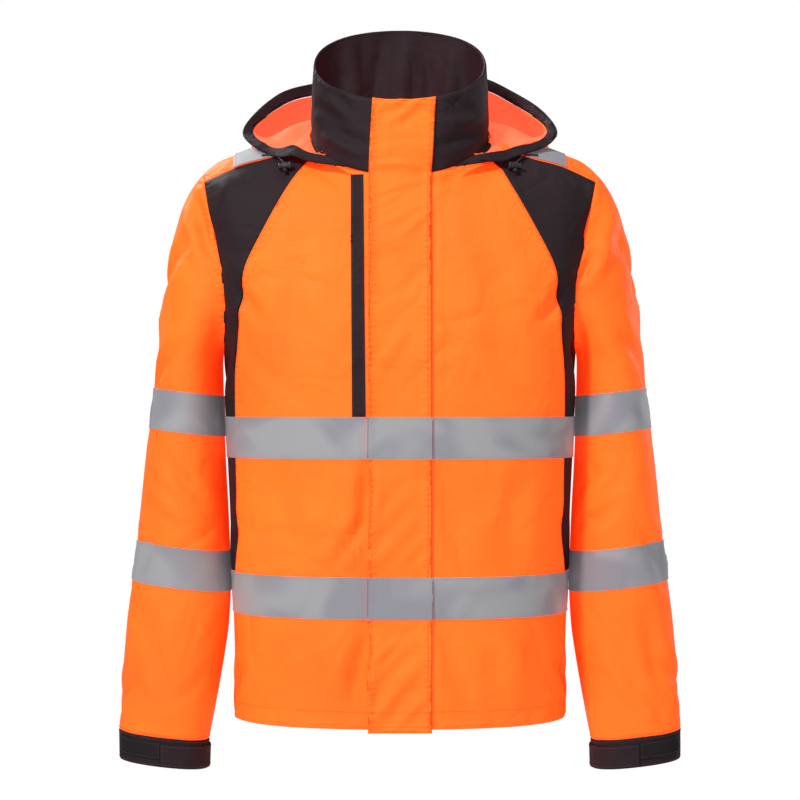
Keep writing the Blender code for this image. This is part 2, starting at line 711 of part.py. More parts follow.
def cut_out(name, surface, quads, cuts, below, material, group):
    """A band laid on the part of a panel that lies behind all the cutting planes."""
    mesh = bmesh.new()
    direction = mesh.verts.layers.float_vector.new("direction")
    made = {}
    for corners in quads:
        for k in corners:
            if k not in made:
                made[k] = mesh.verts.new(surface.points[k])
                made[k][direction] = surface.normals[k]
        for triangle in split(surface.points, corners):
            mesh.faces.new([made[k] for k in triangle])
    for place, facing in cuts:
        everything = [*mesh.verts, *mesh.edges, *mesh.faces]
        bmesh.ops.bisect_plane(
            mesh, geom=everything, dist=0.0004, plane_co=place, plane_no=facing, clear_outer=True
        )
    bmesh.ops.triangulate(mesh, faces=list(mesh.faces))
    mesh.verts.index_update()
    points = [np.array(vert.co) for vert in mesh.verts]
    normals = [np.array(vert[direction].normalized()) for vert in mesh.verts]
    triangles = [[vert.index for vert in face.verts] for face in mesh.faces]
    mesh.free()
    wall(name, points, normals, triangles, below, below + TAPE, material, group)


def slanting_cuts(edges, low, high, sign):
    """Planes along the Y axis through the inner and outer edge of a strip, facing away from it."""
    cuts = []
    for (across_low, across_high), away in zip(edges, (-1, 1)):
        facing = (sign * away * (high - low), 0.0, away * (across_low - across_high))
        cuts.append(((sign * across_low, 0.0, low), facing))
    return cuts


def make_welt(surface, grids, black, group):
    """The black edging beside the flap on the right front, from the neck seam down to the upper band."""
    low = HIGH_BAND[1]
    cuts = slanting_cuts(WELT_EDGES, low, WELT_TOP, -1)
    cuts.append(((0.0, 0.0, WELT_TOP), (0.0, 0.0, 1.0)))
    front = grids["front", "right"]
    columns = (FLAP_COLUMNS, FRONT_COLUMNS)
    quads = turned(quads_of(front, (ROW_HEIGHTS.index(low), len(front) - 1), columns), True)
    cut_out("pocket_edging", surface, quads, cuts, CLOTH / 2 + SEAM_GAP, black, group)


def make_braces(surface, grids, material, group):
    """The bands that run from the shoulder seams down the back to the upper band."""
    low = HIGH_BAND[1]
    for side, mirrored in (("left", False), ("right", True)):
        cuts = slanting_cuts(BRACE_EDGES, low, BRACE_TOP, -1 if mirrored else 1)
        back = grids["back", side]
        rows = (ROW_HEIGHTS.index(low), len(back) - 1)
        quads = turned(quads_of(back, rows, (0, len(back[0]) - 1)), mirrored)
        cut_out("brace_" + side, surface, quads, cuts, CLOTH / 2 + SEAM_GAP, material, group)


def make_cuff_tabs(surface, grids, black, group):
    """The tab that closes each cuff and the loop patch in front of its end."""
    below = CLOTH / 2 + SEAM_GAP
    for side, mirrored in (("left", False), ("right", True)):
        cuff = grids["cuff", side]
        for name, places, heights, thick in (
            ("cuff_tab_", TAB_PLACES, TAB_HEIGHT, CLOTH),
            ("cuff_patch_", PATCH_PLACES, PATCH_HEIGHT, TAPE),
        ):
            rows, normals = [], []
            for height in (heights[0], (heights[0] + heights[1]) / 2, heights[1]):
                low = min(int(height * 2), 1)
                share = height * 2 - low
                pairs = [(cuff[low][k], cuff[low + 1][k]) for k in range(places[0], places[1] + 1)]
                rows.append([lerp(surface.points[a], surface.points[b], share) for a, b in pairs])
                normals.append([lerp(surface.normals[a], surface.normals[b], share) for a, b in pairs])
            laid_on(name + side, rows, normals, below, below + thick, black, group, flipped=mirrored)


def over_front(across, height, lift):
    """The point a distance above the front that is at a place seen from the front, and the normal under it."""
    target = np.array((across, height))
    aim = target
    for _ in range(8):
        angle, level = front_place(*aim)
        normal = body_normal(angle, level)
        point = body(angle, level) + normal * lift
        aim = aim + target - point[[0, 2]]
    return point, normal


def make_locks(plastic, black, group):
    """Cord locks that hang under the hood's rim, with the elastic's end below each."""
    lift = CLOTH / 2 + SEAM_GAP + LOCK_RADIUS
    middle, normal = over_front(*LOCK_PLACE, lift)
    up = np.cross(normal, (1.0, 0.0, 0.0))
    up = up / np.linalg.norm(up)
    end_place = middle - up * (LOCK_RADIUS + SEAM_GAP + CORD_END_RADIUS)
    route = [over_front(*place)[0] for place in CORD_PLACES]
    route.append(middle + up * (LOCK_RADIUS + 2 * SEAM_GAP))
    along = np.cross(up, normal)
    for side, sign in (("left", 1), ("right", -1)):
        turned_side = np.array((sign, 1, 1))
        mesh = bmesh.new()
        bmesh.ops.create_cone(
            mesh, cap_ends=True, segments=12, radius1=LOCK_RADIUS, radius2=LOCK_RADIUS, depth=LOCK_LENGTH
        )
        frame = Matrix((normal * turned_side, up * turned_side, along * turned_side)).transposed()
        bmesh.ops.rotate(mesh, cent=(0, 0, 0), matrix=frame, verts=mesh.verts)
        bmesh.ops.translate(mesh, vec=middle * turned_side, verts=mesh.verts)
        bmesh.ops.recalc_face_normals(mesh, faces=mesh.faces)
        item = finish("cord_lock_" + side, mesh, plastic, group)
        bevel = item.modifiers.new("edges", "BEVEL")
        bevel.width = 0.0010
        bevel.segments = 2
        bevel.angle_limit = math.radians(50)
        end = bmesh.new()
        bmesh.ops.create_uvsphere(end, u_segments=12, v_segments=8, radius=CORD_END_RADIUS)
        bmesh.ops.translate(end, vec=end_place * turned_side, verts=end.verts)
        finish("cord_end_" + side, end, plastic, group)
        cord = bpy.data.curves.new("drawcord_" + side, "CURVE")
        cord.dimensions = "3D"
        cord.bevel_depth = CORD_DIAMETER / 2
        cord.bevel_resolution = 2
        cord.use_fill_caps = True
        spline = cord.splines.new("POLY")
        spline.points.add(len(route) - 1)
        for point, place in zip(spline.points, route):
            point.co = (*(place * turned_side), 1)
        cord.materials.append(black)
        group.objects.link(bpy.data.objects.new("drawcord_" + side, cord))


def build():
    clear_scene()
    group = new_collection("hi_vis_work_jacket")
    orange = make_material("orange_cloth", ORANGE, 0.75)
    black = make_material("black_cloth", BLACK, 0.80)
    silver = make_material("reflective_band", SILVER, 0.45, 0.2)
    plastic = make_material("black_plastic", PLASTIC, 0.40)
    surface, grids = make_surface()
    make_cloth(surface, orange, black, group)
    make_bands(surface, grids, silver, group)
    make_flap(surface, grids, orange, silver, group)
    make_welt(surface, grids, black, group)
    make_braces(surface, grids, silver, group)
    make_cuff_tabs(surface, grids, black, group)
    make_locks(plastic, black, group)


build()
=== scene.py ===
"""Hi-vis work jacket, hollow as worn: one skin of cloth with its folds, cut into its panels,
with reflective bands, storm flap, stitching, thrown-back hood, cuffs and cord locks.

Metres, +Z up, the front faces -Y, and left is the wearer's left, +X.
"""

import math

import bmesh
import bpy
import numpy as np
from mathutils import Matrix, Vector
from mathutils.bvhtree import BVHTree
from mathutils.kdtree import KDTree


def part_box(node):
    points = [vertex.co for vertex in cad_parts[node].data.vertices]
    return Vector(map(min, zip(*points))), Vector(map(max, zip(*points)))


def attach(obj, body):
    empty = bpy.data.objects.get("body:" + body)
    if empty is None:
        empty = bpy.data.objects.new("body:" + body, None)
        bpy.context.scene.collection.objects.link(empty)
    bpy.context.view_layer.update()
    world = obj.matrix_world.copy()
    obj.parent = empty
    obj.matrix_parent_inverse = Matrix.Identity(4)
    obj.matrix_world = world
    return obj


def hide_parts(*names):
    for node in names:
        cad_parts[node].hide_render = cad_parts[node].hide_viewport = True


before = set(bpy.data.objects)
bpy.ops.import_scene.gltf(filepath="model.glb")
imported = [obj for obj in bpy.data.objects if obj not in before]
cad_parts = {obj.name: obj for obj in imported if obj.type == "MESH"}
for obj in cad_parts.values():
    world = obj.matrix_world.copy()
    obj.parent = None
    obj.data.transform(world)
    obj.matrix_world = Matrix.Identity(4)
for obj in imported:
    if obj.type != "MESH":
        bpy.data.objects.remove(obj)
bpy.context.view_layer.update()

scene = bpy.context.scene

# Camera and studio: a level camera at chest height, 2.8 m away, a white room with soft lamps,
# and a pale floor below the hem. The colours are shown as they are, so that the fluorescent
# cloth keeps its strength.
VIEW_DISTANCE = 2.8
VIEW_HEIGHT = -0.328
VIEW_HALF_WIDTH = 0.496
FLOOR_HEIGHT = -1.30
FLOOR_RADIUS = 2.2
SENSOR_WIDTH = 36.0
LAMPS_AIM = (0.0, 0.0, -0.35)
ROOM_LIGHT = 0.16

camera_data = bpy.data.cameras.new("camera")
camera_data.sensor_width = SENSOR_WIDTH
camera_data.lens = SENSOR_WIDTH / 2 * VIEW_DISTANCE / VIEW_HALF_WIDTH
camera = bpy.data.objects.new("camera", camera_data)
camera.location = (0.0, -VIEW_DISTANCE, VIEW_HEIGHT)
camera.rotation_euler = (math.radians(90), 0.0, 0.0)
scene.collection.objects.link(camera)
scene.camera = camera
scene.view_settings.view_transform = "Standard"

# Each lamp's name, place, size and power
LAMPS = (
    ("key", (-1.45, -2.05, 1.75), 0.45, 73.0),
    ("front", (-0.3, -3.2, 0.2), 1.2, 19.0),
    ("right", (2.4, -1.4, 0.6), 0.8, 12.0),
    ("top", (0.1, -0.1, 2.2), 1.0, 10.0),
    ("back_left", (-1.6, 2.1, 1.8), 0.5, 64.0),
    ("back_right", (2.2, 1.8, 0.2), 0.8, 16.0),
)
for lamp_name, place, size, power in LAMPS:
    lamp_data = bpy.data.lights.new(lamp_name, "AREA")
    lamp_data.size = size
    lamp_data.energy = power
    lamp = bpy.data.objects.new(lamp_name, lamp_data)
    lamp.location = place
    aim = Vector(LAMPS_AIM) - Vector(place)
    lamp.rotation_euler = aim.to_track_quat("-Z", "Y").to_euler()
    scene.collection.objects.link(lamp)

# The room is white to the camera and lights the jacket softly
world = bpy.data.worlds.new("white_room")
world.use_nodes = True
scene.world = world
room = world.node_tree.nodes
light_path = room.new("ShaderNodeLightPath")
seen_room = room.new("ShaderNodeBackground")
seen_room.inputs["Color"].default_value = (1.0, 1.0, 1.0, 1.0)
lit_room = room["Background"]
lit_room.inputs["Color"].default_value = (1.0, 0.99, 0.98, 1.0)
lit_room.inputs["Strength"].default_value = ROOM_LIGHT
pick = room.new("ShaderNodeMixShader")
world.node_tree.links.new(light_path.outputs["Is Camera Ray"], pick.inputs[0])
world.node_tree.links.new(lit_room.outputs[0], pick.inputs[1])
world.node_tree.links.new(seen_room.outputs[0], pick.inputs[2])
world.node_tree.links.new(pick.outputs[0], room["World Output"].inputs["Surface"])

floor_mesh = bmesh.new()
bmesh.ops.create_circle(floor_mesh, cap_ends=True, segments=96, radius=FLOOR_RADIUS)
bmesh.ops.translate(floor_mesh, vec=(0.0, 0.0, FLOOR_HEIGHT), verts=floor_mesh.verts)
floor_data = bpy.data.meshes.new("floor")
floor_mesh.to_mesh(floor_data)
floor_mesh.free()
floor_paint = bpy.data.materials.new("pale_floor")
floor_paint.use_nodes = True
floor_shader = floor_paint.node_tree.nodes["Principled BSDF"]
floor_shader.inputs["Base Color"].default_value = (0.86, 0.86, 0.86, 1.0)
floor_shader.inputs["Roughness"].default_value = 0.7
floor_data.materials.append(floor_paint)
floor = bpy.data.objects.new("floor", floor_data)
scene.collection.objects.link(floor)


# The hood's elastic comes out under its rim in front of each shoulder, goes through a barrel
# cord lock and ends in a small bell. The elastic is round and braided, and the locks and bells
# are moulded plastic.
CORD_DIAMETER = 0.0022
# The wearer's left elastic, from under the rim to its bell; the right one is its mirror image
CORD_ROUTE = (
    (0.1690, -0.0409, -0.0290),
    (0.1640, -0.0414, -0.0285),
    (0.1590, -0.0422, -0.0283),
    (0.1540, -0.0440, -0.0285),
    (0.1503, -0.0483, -0.0305),
    (0.1475, -0.0534, -0.0335),
    (0.1450, -0.0585, -0.0365),
    (0.1390, -0.0661, -0.0414),
)
LOCK_MIDDLE = (0.1390, -0.0698, -0.0450)
LOCK_OUT = (0.1039, -0.6885, 0.7178)
LOCK_UP = (0.0, 0.7217, 0.6922)
# Profiles of the moulded pieces: places along the axis and radii
LOCK_PROFILE = (
    (-0.0080, 0.0000),
    (-0.0080, 0.0036),
    (-0.0076, 0.0044),
    (-0.0068, 0.0046),
    (-0.0046, 0.0046),
    (-0.0044, 0.0042),
    (-0.0040, 0.0042),
    (-0.0038, 0.0046),
    (0.0030, 0.0046),
    (0.0034, 0.0043),
    (0.0036, 0.0034),
    (0.0050, 0.0034),
    (0.0052, 0.0038),
    (0.0072, 0.0038),
    (0.0079, 0.0033),
    (0.0080, 0.0000),
)
BELL_MIDDLE = (0.1390, -0.0755, -0.0505)
BELL_PROFILE = (
    (-0.0030, 0.0000),
    (-0.0029, 0.0018),
    (-0.0022, 0.0027),
    (-0.0008, 0.0030),
    (0.0008, 0.0026),
    (0.0018, 0.0019),
    (0.0029, 0.0016),
    (0.0030, 0.0000),
)

PROFILE_STEPS = 24
MOULD_ROUNDING = 0.0002


def grained(name, texture, output, scale, painted_shade_tones, roughness, depth, sunk=False):
    """A fine even grain in two tones, raised from the surface or sunk into it; the darker tone lies
    on its lower parts as painted shade.
    """
    material = bpy.data.materials.new(name)
    material.use_nodes = True
    tree = material.node_tree
    shader = tree.nodes["Principled BSDF"]
    shader.inputs["Roughness"].default_value = roughness
    place = tree.nodes.new("ShaderNodeTexCoord")
    grain = tree.nodes.new(texture)
    grain.inputs["Scale"].default_value = scale
    tone = tree.nodes.new("ShaderNodeValToRGB")
    for stop, colour in zip(tone.color_ramp.elements, painted_shade_tones):
        stop.color = colour
    bump = tree.nodes.new("ShaderNodeBump")
    bump.inputs["Distance"].default_value = depth
    bump.invert = sunk
    tree.links.new(place.outputs["Object"], grain.inputs["Vector"])
    tree.links.new(grain.outputs[output], tone.inputs["Fac"])
    tree.links.new(tone.outputs["Color"], shader.inputs["Base Color"])
    tree.links.new(grain.outputs[output], bump.inputs["Height"])
    tree.links.new(bump.outputs[0], shader.inputs["Normal"])
    return material


# Darker in the hollows of its grain, as painted shade
moulded = grained(
    "moulded_black_plastic",
    "ShaderNodeTexNoise",
    "Fac",
    scale=1500.0,
    painted_shade_tones=((0.008, 0.007, 0.008, 1.0), (0.020, 0.017, 0.019, 1.0)),
    roughness=0.38,
    depth=0.00006,
)
# Darker in the grooves between its strands, as painted shade
braided = grained(
    "braided_elastic",
    "ShaderNodeTexVoronoi",
    "Distance",
    scale=1300.0,
    painted_shade_tones=((0.030, 0.026, 0.028, 1.0), (0.006, 0.005, 0.006, 1.0)),
    roughness=0.7,
    depth=0.00025,
    sunk=True,
)


def turned_piece(name, profile, middle, axis, out, side):
    """A moulded piece, turned about an axis from its profile; side is -1 for its mirror image."""
    piece = bmesh.new()
    rows = [piece.verts.new((radius, 0.0, along)) for along, radius in profile]
    for first, second in zip(rows, rows[1:]):
        piece.edges.new((first, second))
    bmesh.ops.spin(
        piece,
        geom=piece.verts[:] + piece.edges[:],
        cent=(0.0, 0.0, 0.0),
        axis=(0.0, 0.0, 1.0),
        angle=math.tau,
        steps=PROFILE_STEPS,
        use_merge=True,
    )
    bmesh.ops.remove_doubles(piece, verts=piece.verts, dist=1e-6)
    turn = Matrix((out, axis.cross(out), axis)).transposed().to_4x4()
    bmesh.ops.transform(piece, matrix=turn, verts=piece.verts)
    bmesh.ops.translate(piece, vec=middle, verts=piece.verts)
    bmesh.ops.scale(piece, vec=(side, 1.0, 1.0), verts=piece.verts)
    bmesh.ops.recalc_face_normals(piece, faces=piece.faces)
    data = bpy.data.meshes.new(name)
    piece.to_mesh(data)
    piece.free()
    data.materials.append(moulded)
    item = bpy.data.objects.new(name, data)
    scene.collection.objects.link(item)
    rounding = item.modifiers.new("rounding", "BEVEL")
    rounding.width = MOULD_ROUNDING
    rounding.segments = 2
    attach(item, "root")
    return item


for side, sign in (("left", 1), ("right", -1)):
    out = Vector(LOCK_OUT)
    up = Vector(LOCK_UP)
    across = up.cross(out).normalized()
    lock = turned_piece("barrel_lock_" + side, LOCK_PROFILE, LOCK_MIDDLE, across, out, sign)
    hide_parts("cord_lock_" + side)
    bell = turned_piece("elastic_bell_" + side, BELL_PROFILE, BELL_MIDDLE, up, out, sign)
    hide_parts("cord_end_" + side)
    curve = bpy.data.curves.new("elastic_" + side, "CURVE")
    curve.dimensions = "3D"
    curve.bevel_depth = CORD_DIAMETER / 2
    curve.bevel_resolution = 4
    curve.use_fill_caps = True
    spline = curve.splines.new("NURBS")
    spline.points.add(len(CORD_ROUTE) - 1)
    for point, (x, y, z) in zip(spline.points, CORD_ROUTE):
        point.co = (x * sign, y, z, 1.0)
    spline.order_u = 3
    spline.resolution_u = 6
    spline.use_endpoint_u = True
    curve.materials.append(braided)
    elastic = bpy.data.objects.new("elastic_" + side, curve)
    scene.collection.objects.link(elastic)
    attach(elastic, "root")
    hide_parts("drawcord_" + side)


# The cloth's skin. The outer sides of the body's, sleeves', cuffs' and collar's panels are sewn
# into one sheet, which is smoothed as one, so that the panels cut from it later meet all along
# their seams. Each seam keeps its own smooth line and a slight ridge.
PANELS = (
    "front_left",
    "front_right",
    "side_lower_left",
    "side_lower_right",
    "shoulder_side_left",
    "shoulder_side_right",
    "back",
    "collar",
    "sleeve_left",
    "sleeve_right",
    "cuff_left",
    "cuff_right",
)
SEWN_TOGETHER = 0.0012
THICKEST_WALL = 0.003
TOUCHING = 1e-5
# How alike two faces' directions are: across a wall, and side by side on one side of it
OPPOSITE = -0.6
ALIKE = 0.5
# A patch smaller than this share of the largest is a wall's edge
SMALL_PATCH = 0.04
# Two triangles join into one four-sided face up to these angles
FLAT_JOIN = math.radians(55)
SQUARE_JOIN = math.radians(60)
LONG_EDGE = 0.034
UPRIGHT_SHARE = 0.75
CORNER_TURN = math.radians(35)


def outer_side(sheet, name, number, middle, facing=1):
    """Adds to a sheet the side of a solid's wall that faces away from a point, or towards it."""
    wall = bmesh.new()
    wall.from_mesh(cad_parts[name].data)
    bmesh.ops.remove_doubles(wall, verts=wall.verts, dist=TOUCHING)
    tree = BVHTree.FromBMesh(wall)
    for face in wall.faces:
        inside = face.calc_center_median() - face.normal * TOUCHING
        _, normal, _, _ = tree.ray_cast(inside, -face.normal, THICKEST_WALL)
        face.tag = normal is not None and normal.dot(face.normal) < OPPOSITE
    islands = []
    for first in wall.faces:
        if not first.tag:
            continue
        first.tag = False
        island = [first]
        for face in island:
            for edge in face.edges:
                for other in edge.link_faces:
                    if other.tag and face.normal.dot(other.normal) > ALIKE:
                        other.tag = False
                        island.append(other)
        lean = 0
        for face in island:
            lean += face.calc_area() * face.normal.dot(face.calc_center_median() - middle)
        if lean * facing > 0:
            islands.append((sum(face.calc_area() for face in island), island))
    smallest = SMALL_PATCH * max(area for area, _ in islands)
    kept = set()
    for area, island in islands:
        if area > smallest:
            kept.update(vert for face in island for vert in face.verts)
    other_side = [face for face in wall.faces if not kept.issuperset(face.verts)]
    bmesh.ops.delete(wall, geom=other_side, context="FACES")
    for face in wall.faces:
        face.material_index = number
    data = bpy.data.meshes.new("outer_side")
    wall.to_mesh(data)
    wall.free()
    sheet.from_mesh(data)
    bpy.data.meshes.remove(data)


def even_out(sheet):
    """Joins a sheet's triangles into four-sided faces and halves its tall ones."""
    bmesh.ops.join_triangles(
        sheet,
        faces=sheet.faces,
        cmp_materials=True,
        angle_face_threshold=FLAT_JOIN,
        angle_shape_threshold=SQUARE_JOIN,
    )
    tall = []
    for edge in sheet.edges:
        rise = abs(edge.verts[0].co.z - edge.verts[1].co.z)
        if edge.calc_length() > LONG_EDGE and rise > UPRIGHT_SHARE * edge.calc_length():
            tall.append(edge)
    bmesh.ops.subdivide_edges(sheet, edges=tall, cuts=1, use_grid_fill=True)


def smoothed(sheet, name, levels=2):
    """The sheet after subdivision, as a new mesh, its seams and corners kept; frees the sheet."""
    ridge = sheet.edges.layers.float.new("crease_edge")
    corner = sheet.verts.layers.float.new("crease_vert")
    for edge in sheet.edges:
        if len({face.material_index for face in edge.link_faces}) == 2:
            edge[ridge] = 1.0
    for vert in sheet.verts:
        sides = [edge.other_vert(vert).co - vert.co for edge in vert.link_edges if edge.is_boundary]
        if len(sides) == 2 and sides[0].angle(-sides[1]) > CORNER_TURN:
            vert[corner] = 1.0
    data = bpy.data.meshes.new(name)
    sheet.to_mesh(data)
    sheet.free()
    item = bpy.data.objects.new(name, data)
    scene.collection.objects.link(item)
    smooth = item.modifiers.new("smooth", "SUBSURF")
    smooth.levels = levels
    smooth.render_levels = levels
    smooth.boundary_smooth = "PRESERVE_CORNERS"
    bpy.context.view_layer.update()
    finished = item.evaluated_get(bpy.context.evaluated_depsgraph_get())
    made = bpy.data.meshes.new_from_object(finished)
    bpy.data.objects.remove(item)
    bpy.data.meshes.remove(data)
    return made


sheet = bmesh.new()
for number, name in enumerate(PANELS):
    low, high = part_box(name)
    middle = (low + high) / 2
    if not name.startswith(("sleeve", "cuff")):
        middle = Vector((0.0, 0.0, middle.z))
    outer_side(sheet, name, number, middle)
bmesh.ops.remove_doubles(sheet, verts=sheet.verts, dist=SEWN_TOGETHER)
even_out(sheet)
skin = smoothed(sheet, "skin")


# Folds of the body and sleeves, laid one by one. The cloth is crisp, so they are few and soft. Each
# row is the side it shows on, where it starts, bends and ends as (across, up), half its width,
# and its depth, below zero for a ridge.
FOLDS = (
    ("front", (-0.040, -0.405), (-0.042, -0.440), (-0.046, -0.500), 0.0093, 0.0102),
    ("front", (-0.044, -0.468), (-0.060, -0.495), (-0.082, -0.530), 0.0068, 0.0081),
    ("front", (-0.046, -0.490), (-0.056, -0.508), (-0.066, -0.532), 0.0051, -0.0063),
    ("front", (-0.039, -0.600), (-0.048, -0.640), (-0.058, -0.690), 0.0102, 0.0116),
    ("front", (-0.070, -0.600), (-0.080, -0.640), (-0.086, -0.680), 0.0119, -0.0054),
    ("front", (0.045, -0.410), (0.062, -0.450), (0.070, -0.500), 0.0136, 0.0047),
    ("front", (0.150, -0.410), (0.135, -0.450), (0.128, -0.520), 0.0153, 0.0047),
    ("front", (-0.150, -0.420), (-0.135, -0.460), (-0.120, -0.520), 0.0153, 0.0040),
    ("front", (0.050, -0.600), (0.070, -0.640), (0.080, -0.700), 0.0136, 0.0054),
    ("front", (0.130, -0.600), (0.138, -0.640), (0.140, -0.710), 0.0153, -0.0047),
    ("front", (-0.150, -0.600), (-0.155, -0.640), (-0.150, -0.700), 0.0153, 0.0047),
    ("front", (0.042, -0.064), (0.060, -0.066), (0.080, -0.058), 0.0043, 0.0047),
    ("front", (0.044, -0.078), (0.062, -0.076), (0.086, -0.064), 0.0051, -0.0040),
    ("front", (-0.068, -0.074), (-0.080, -0.066), (-0.092, -0.054), 0.0051, 0.0040),
    ("front", (0.105, -0.120), (0.120, -0.200), (0.124, -0.300), 0.0187, 0.0040),
    ("front", (-0.110, -0.130), (-0.126, -0.200), (-0.128, -0.300), 0.0187, 0.0040),
    ("front", (0.198, -0.190), (0.185, -0.215), (0.165, -0.235), 0.0085, 0.0075),
    ("front", (-0.198, -0.190), (-0.186, -0.212), (-0.168, -0.228), 0.0085, 0.0063),
    ("front", (-0.249, -0.082), (-0.243, -0.110), (-0.231, -0.148), 0.0076, 0.0081),
    ("front", (-0.262, -0.095), (-0.252, -0.130), (-0.240, -0.165), 0.0085, -0.0050),
    ("front", (0.236, -0.150), (0.226, -0.168), (0.218, -0.180), 0.0068, 0.0069),
    ("front", (0.262, -0.100), (0.250, -0.140), (0.232, -0.185), 0.0102, -0.0057),
    ("front", (-0.285, -0.400), (-0.262, -0.425), (-0.235, -0.455), 0.0085, 0.0063),
    ("front", (-0.300, -0.440), (-0.280, -0.462), (-0.245, -0.482), 0.0076, -0.0044),
    ("front", (0.225, -0.480), (0.245, -0.470), (0.262, -0.452), 0.0076, 0.0069),
    ("front", (0.222, -0.452), (0.240, -0.440), (0.256, -0.415), 0.0076, -0.0044),
    ("front", (-0.318, -0.580), (-0.300, -0.620), (-0.285, -0.690), 0.0110, 0.0057),
    ("front", (0.300, -0.585), (0.308, -0.640), (0.322, -0.700), 0.0110, 0.0057),
    ("front", (0.250, -0.640), (0.262, -0.665), (0.285, -0.690), 0.0085, -0.0044),
    ("front", (-0.235, -0.655), (-0.252, -0.680), (-0.275, -0.700), 0.0085, 0.0022),
    ("back", (-0.120, -0.405), (-0.105, -0.450), (-0.100, -0.530), 0.015, 0.0090),
    ("back", (0.060, -0.405), (0.075, -0.460), (0.070, -0.530), 0.015, 0.0079),
    ("back", (0.150, -0.410), (0.140, -0.460), (0.120, -0.520), 0.011, -0.0063),
    ("back", (-0.030, -0.600), (-0.020, -0.650), (-0.030, -0.710), 0.013, 0.0079),
    ("back", (0.110, -0.600), (0.120, -0.650), (0.115, -0.712), 0.013, -0.0068),
    ("back", (-0.160, -0.600), (-0.150, -0.650), (-0.155, -0.712), 0.012, 0.0075),
    ("back", (-0.190, -0.200), (-0.150, -0.235), (-0.100, -0.255), 0.009, 0.0090),
    ("back", (0.190, -0.190), (0.155, -0.225), (0.105, -0.240), 0.009, 0.0094),
    ("back", (0.185, -0.225), (0.150, -0.262), (0.110, -0.285), 0.008, -0.0063),
    ("back", (-0.188, -0.240), (-0.150, -0.278), (-0.115, -0.300), 0.008, -0.0057),
    ("back", (-0.300, -0.400), (-0.270, -0.430), (-0.240, -0.470), 0.011, 0.0086),
    ("back", (0.300, -0.405), (0.275, -0.440), (0.240, -0.470), 0.011, 0.0086),
    ("back", (0.310, -0.450), (0.285, -0.480), (0.250, -0.495), 0.010, -0.0063),
    ("back", (-0.315, -0.590), (-0.300, -0.640), (-0.270, -0.690), 0.012, 0.0074),
    ("back", (0.320, -0.590), (0.305, -0.650), (0.275, -0.700), 0.012, 0.0074),
    ("front", (-0.082, 0.048), (-0.070, 0.034), (-0.058, 0.020), 0.0050, 0.0055),
    ("front", (-0.100, 0.033), (-0.086, 0.016), (-0.062, 0.002), 0.0060, 0.0066),
    ("front", (-0.092, 0.010), (-0.072, -0.010), (-0.042, -0.018), 0.0065, 0.0062),
    ("front", (-0.090, -0.008), (-0.070, -0.024), (-0.044, -0.032), 0.0050, -0.0043),
    ("front", (0.050, 0.046), (0.066, 0.030), (0.086, 0.022), 0.0060, 0.0062),
    ("front", (0.048, 0.010), (0.070, 0.004), (0.098, 0.016), 0.0065, -0.0055),
    ("front", (0.046, -0.020), (0.066, -0.016), (0.096, -0.002), 0.0060, 0.0062),
    ("back", (-0.062, 0.012), (-0.056, 0.060), (-0.064, 0.125), 0.0090, 0.0081),
    ("back", (-0.030, 0.010), (-0.036, 0.060), (-0.024, 0.130), 0.0080, -0.0069),
    ("back", (0.004, 0.010), (0.000, 0.070), (0.010, 0.130), 0.0085, 0.0077),
    ("back", (0.034, 0.012), (0.040, 0.060), (0.032, 0.128), 0.0080, -0.0065),
    ("back", (0.066, 0.012), (0.060, 0.060), (0.070, 0.118), 0.0090, 0.0081),
    ("left", (-0.060, -0.115), (-0.020, -0.165), (0.022, -0.195), 0.012, 0.0062),
    ("left", (0.056, -0.150), (0.034, -0.205), (-0.008, -0.238), 0.012, -0.0050),
    ("left", (-0.072, -0.250), (-0.030, -0.278), (0.012, -0.335), 0.013, 0.0064),
    ("left", (0.068, -0.292), (0.042, -0.325), (0.008, -0.352), 0.011, 0.0052),
    ("left", (0.070, -0.462), (0.045, -0.480), (0.004, -0.512), 0.010, 0.0062),
    ("left", (0.066, -0.500), (0.038, -0.518), (-0.004, -0.536), 0.010, -0.0050),
    ("left", (-0.068, -0.468), (-0.048, -0.502), (-0.032, -0.552), 0.011, 0.0052),
    ("left", (-0.060, -0.645), (-0.028, -0.664), (0.004, -0.702), 0.011, 0.0056),
    ("left", (0.038, -0.636), (0.020, -0.680), (0.008, -0.732), 0.012, -0.0046),
    ("right", (-0.062, -0.125), (-0.026, -0.170), (0.016, -0.206), 0.013, 0.0060),
    ("right", (0.058, -0.165), (0.030, -0.214), (-0.014, -0.246), 0.012, -0.0052),
    ("right", (-0.070, -0.262), (-0.034, -0.290), (0.006, -0.330), 0.012, 0.0060),
    ("right", (0.066, -0.305), (0.036, -0.338), (0.002, -0.362), 0.012, 0.0056),
    ("right", (0.068, -0.470), (0.040, -0.486), (0.000, -0.506), 0.010, 0.0060),
    ("right", (0.064, -0.512), (0.036, -0.528), (0.006, -0.548), 0.010, -0.0048),
    ("right", (-0.066, -0.476), (-0.044, -0.510), (-0.036, -0.548), 0.010, 0.0054),
    ("right", (-0.058, -0.652), (-0.030, -0.676), (-0.004, -0.716), 0.011, 0.0058),
    ("right", (0.036, -0.644), (0.022, -0.676), (0.012, -0.724), 0.012, -0.0046),
    ("back", (-0.060, -0.190), (0.000, -0.215), (0.070, -0.200), 0.013, 0.0070),
    ("back", (-0.090, -0.300), (-0.020, -0.330), (0.060, -0.318), 0.012, -0.0052),
    ("back", (0.020, -0.350), (0.080, -0.372), (0.135, -0.362), 0.011, 0.0060),
    ("back", (-0.292, -0.180), (-0.268, -0.230), (-0.250, -0.300), 0.012, 0.0060),
    ("back", (0.290, -0.170), (0.272, -0.228), (0.248, -0.290), 0.012, 0.0062),
)
# For each side: the axis that runs across it, the axis it faces along, and which way
FOLD_SIDES = {"front": (0, 1, -1), "back": (0, 1, 1), "left": (1, 0, 1), "right": (1, 0, -1)}
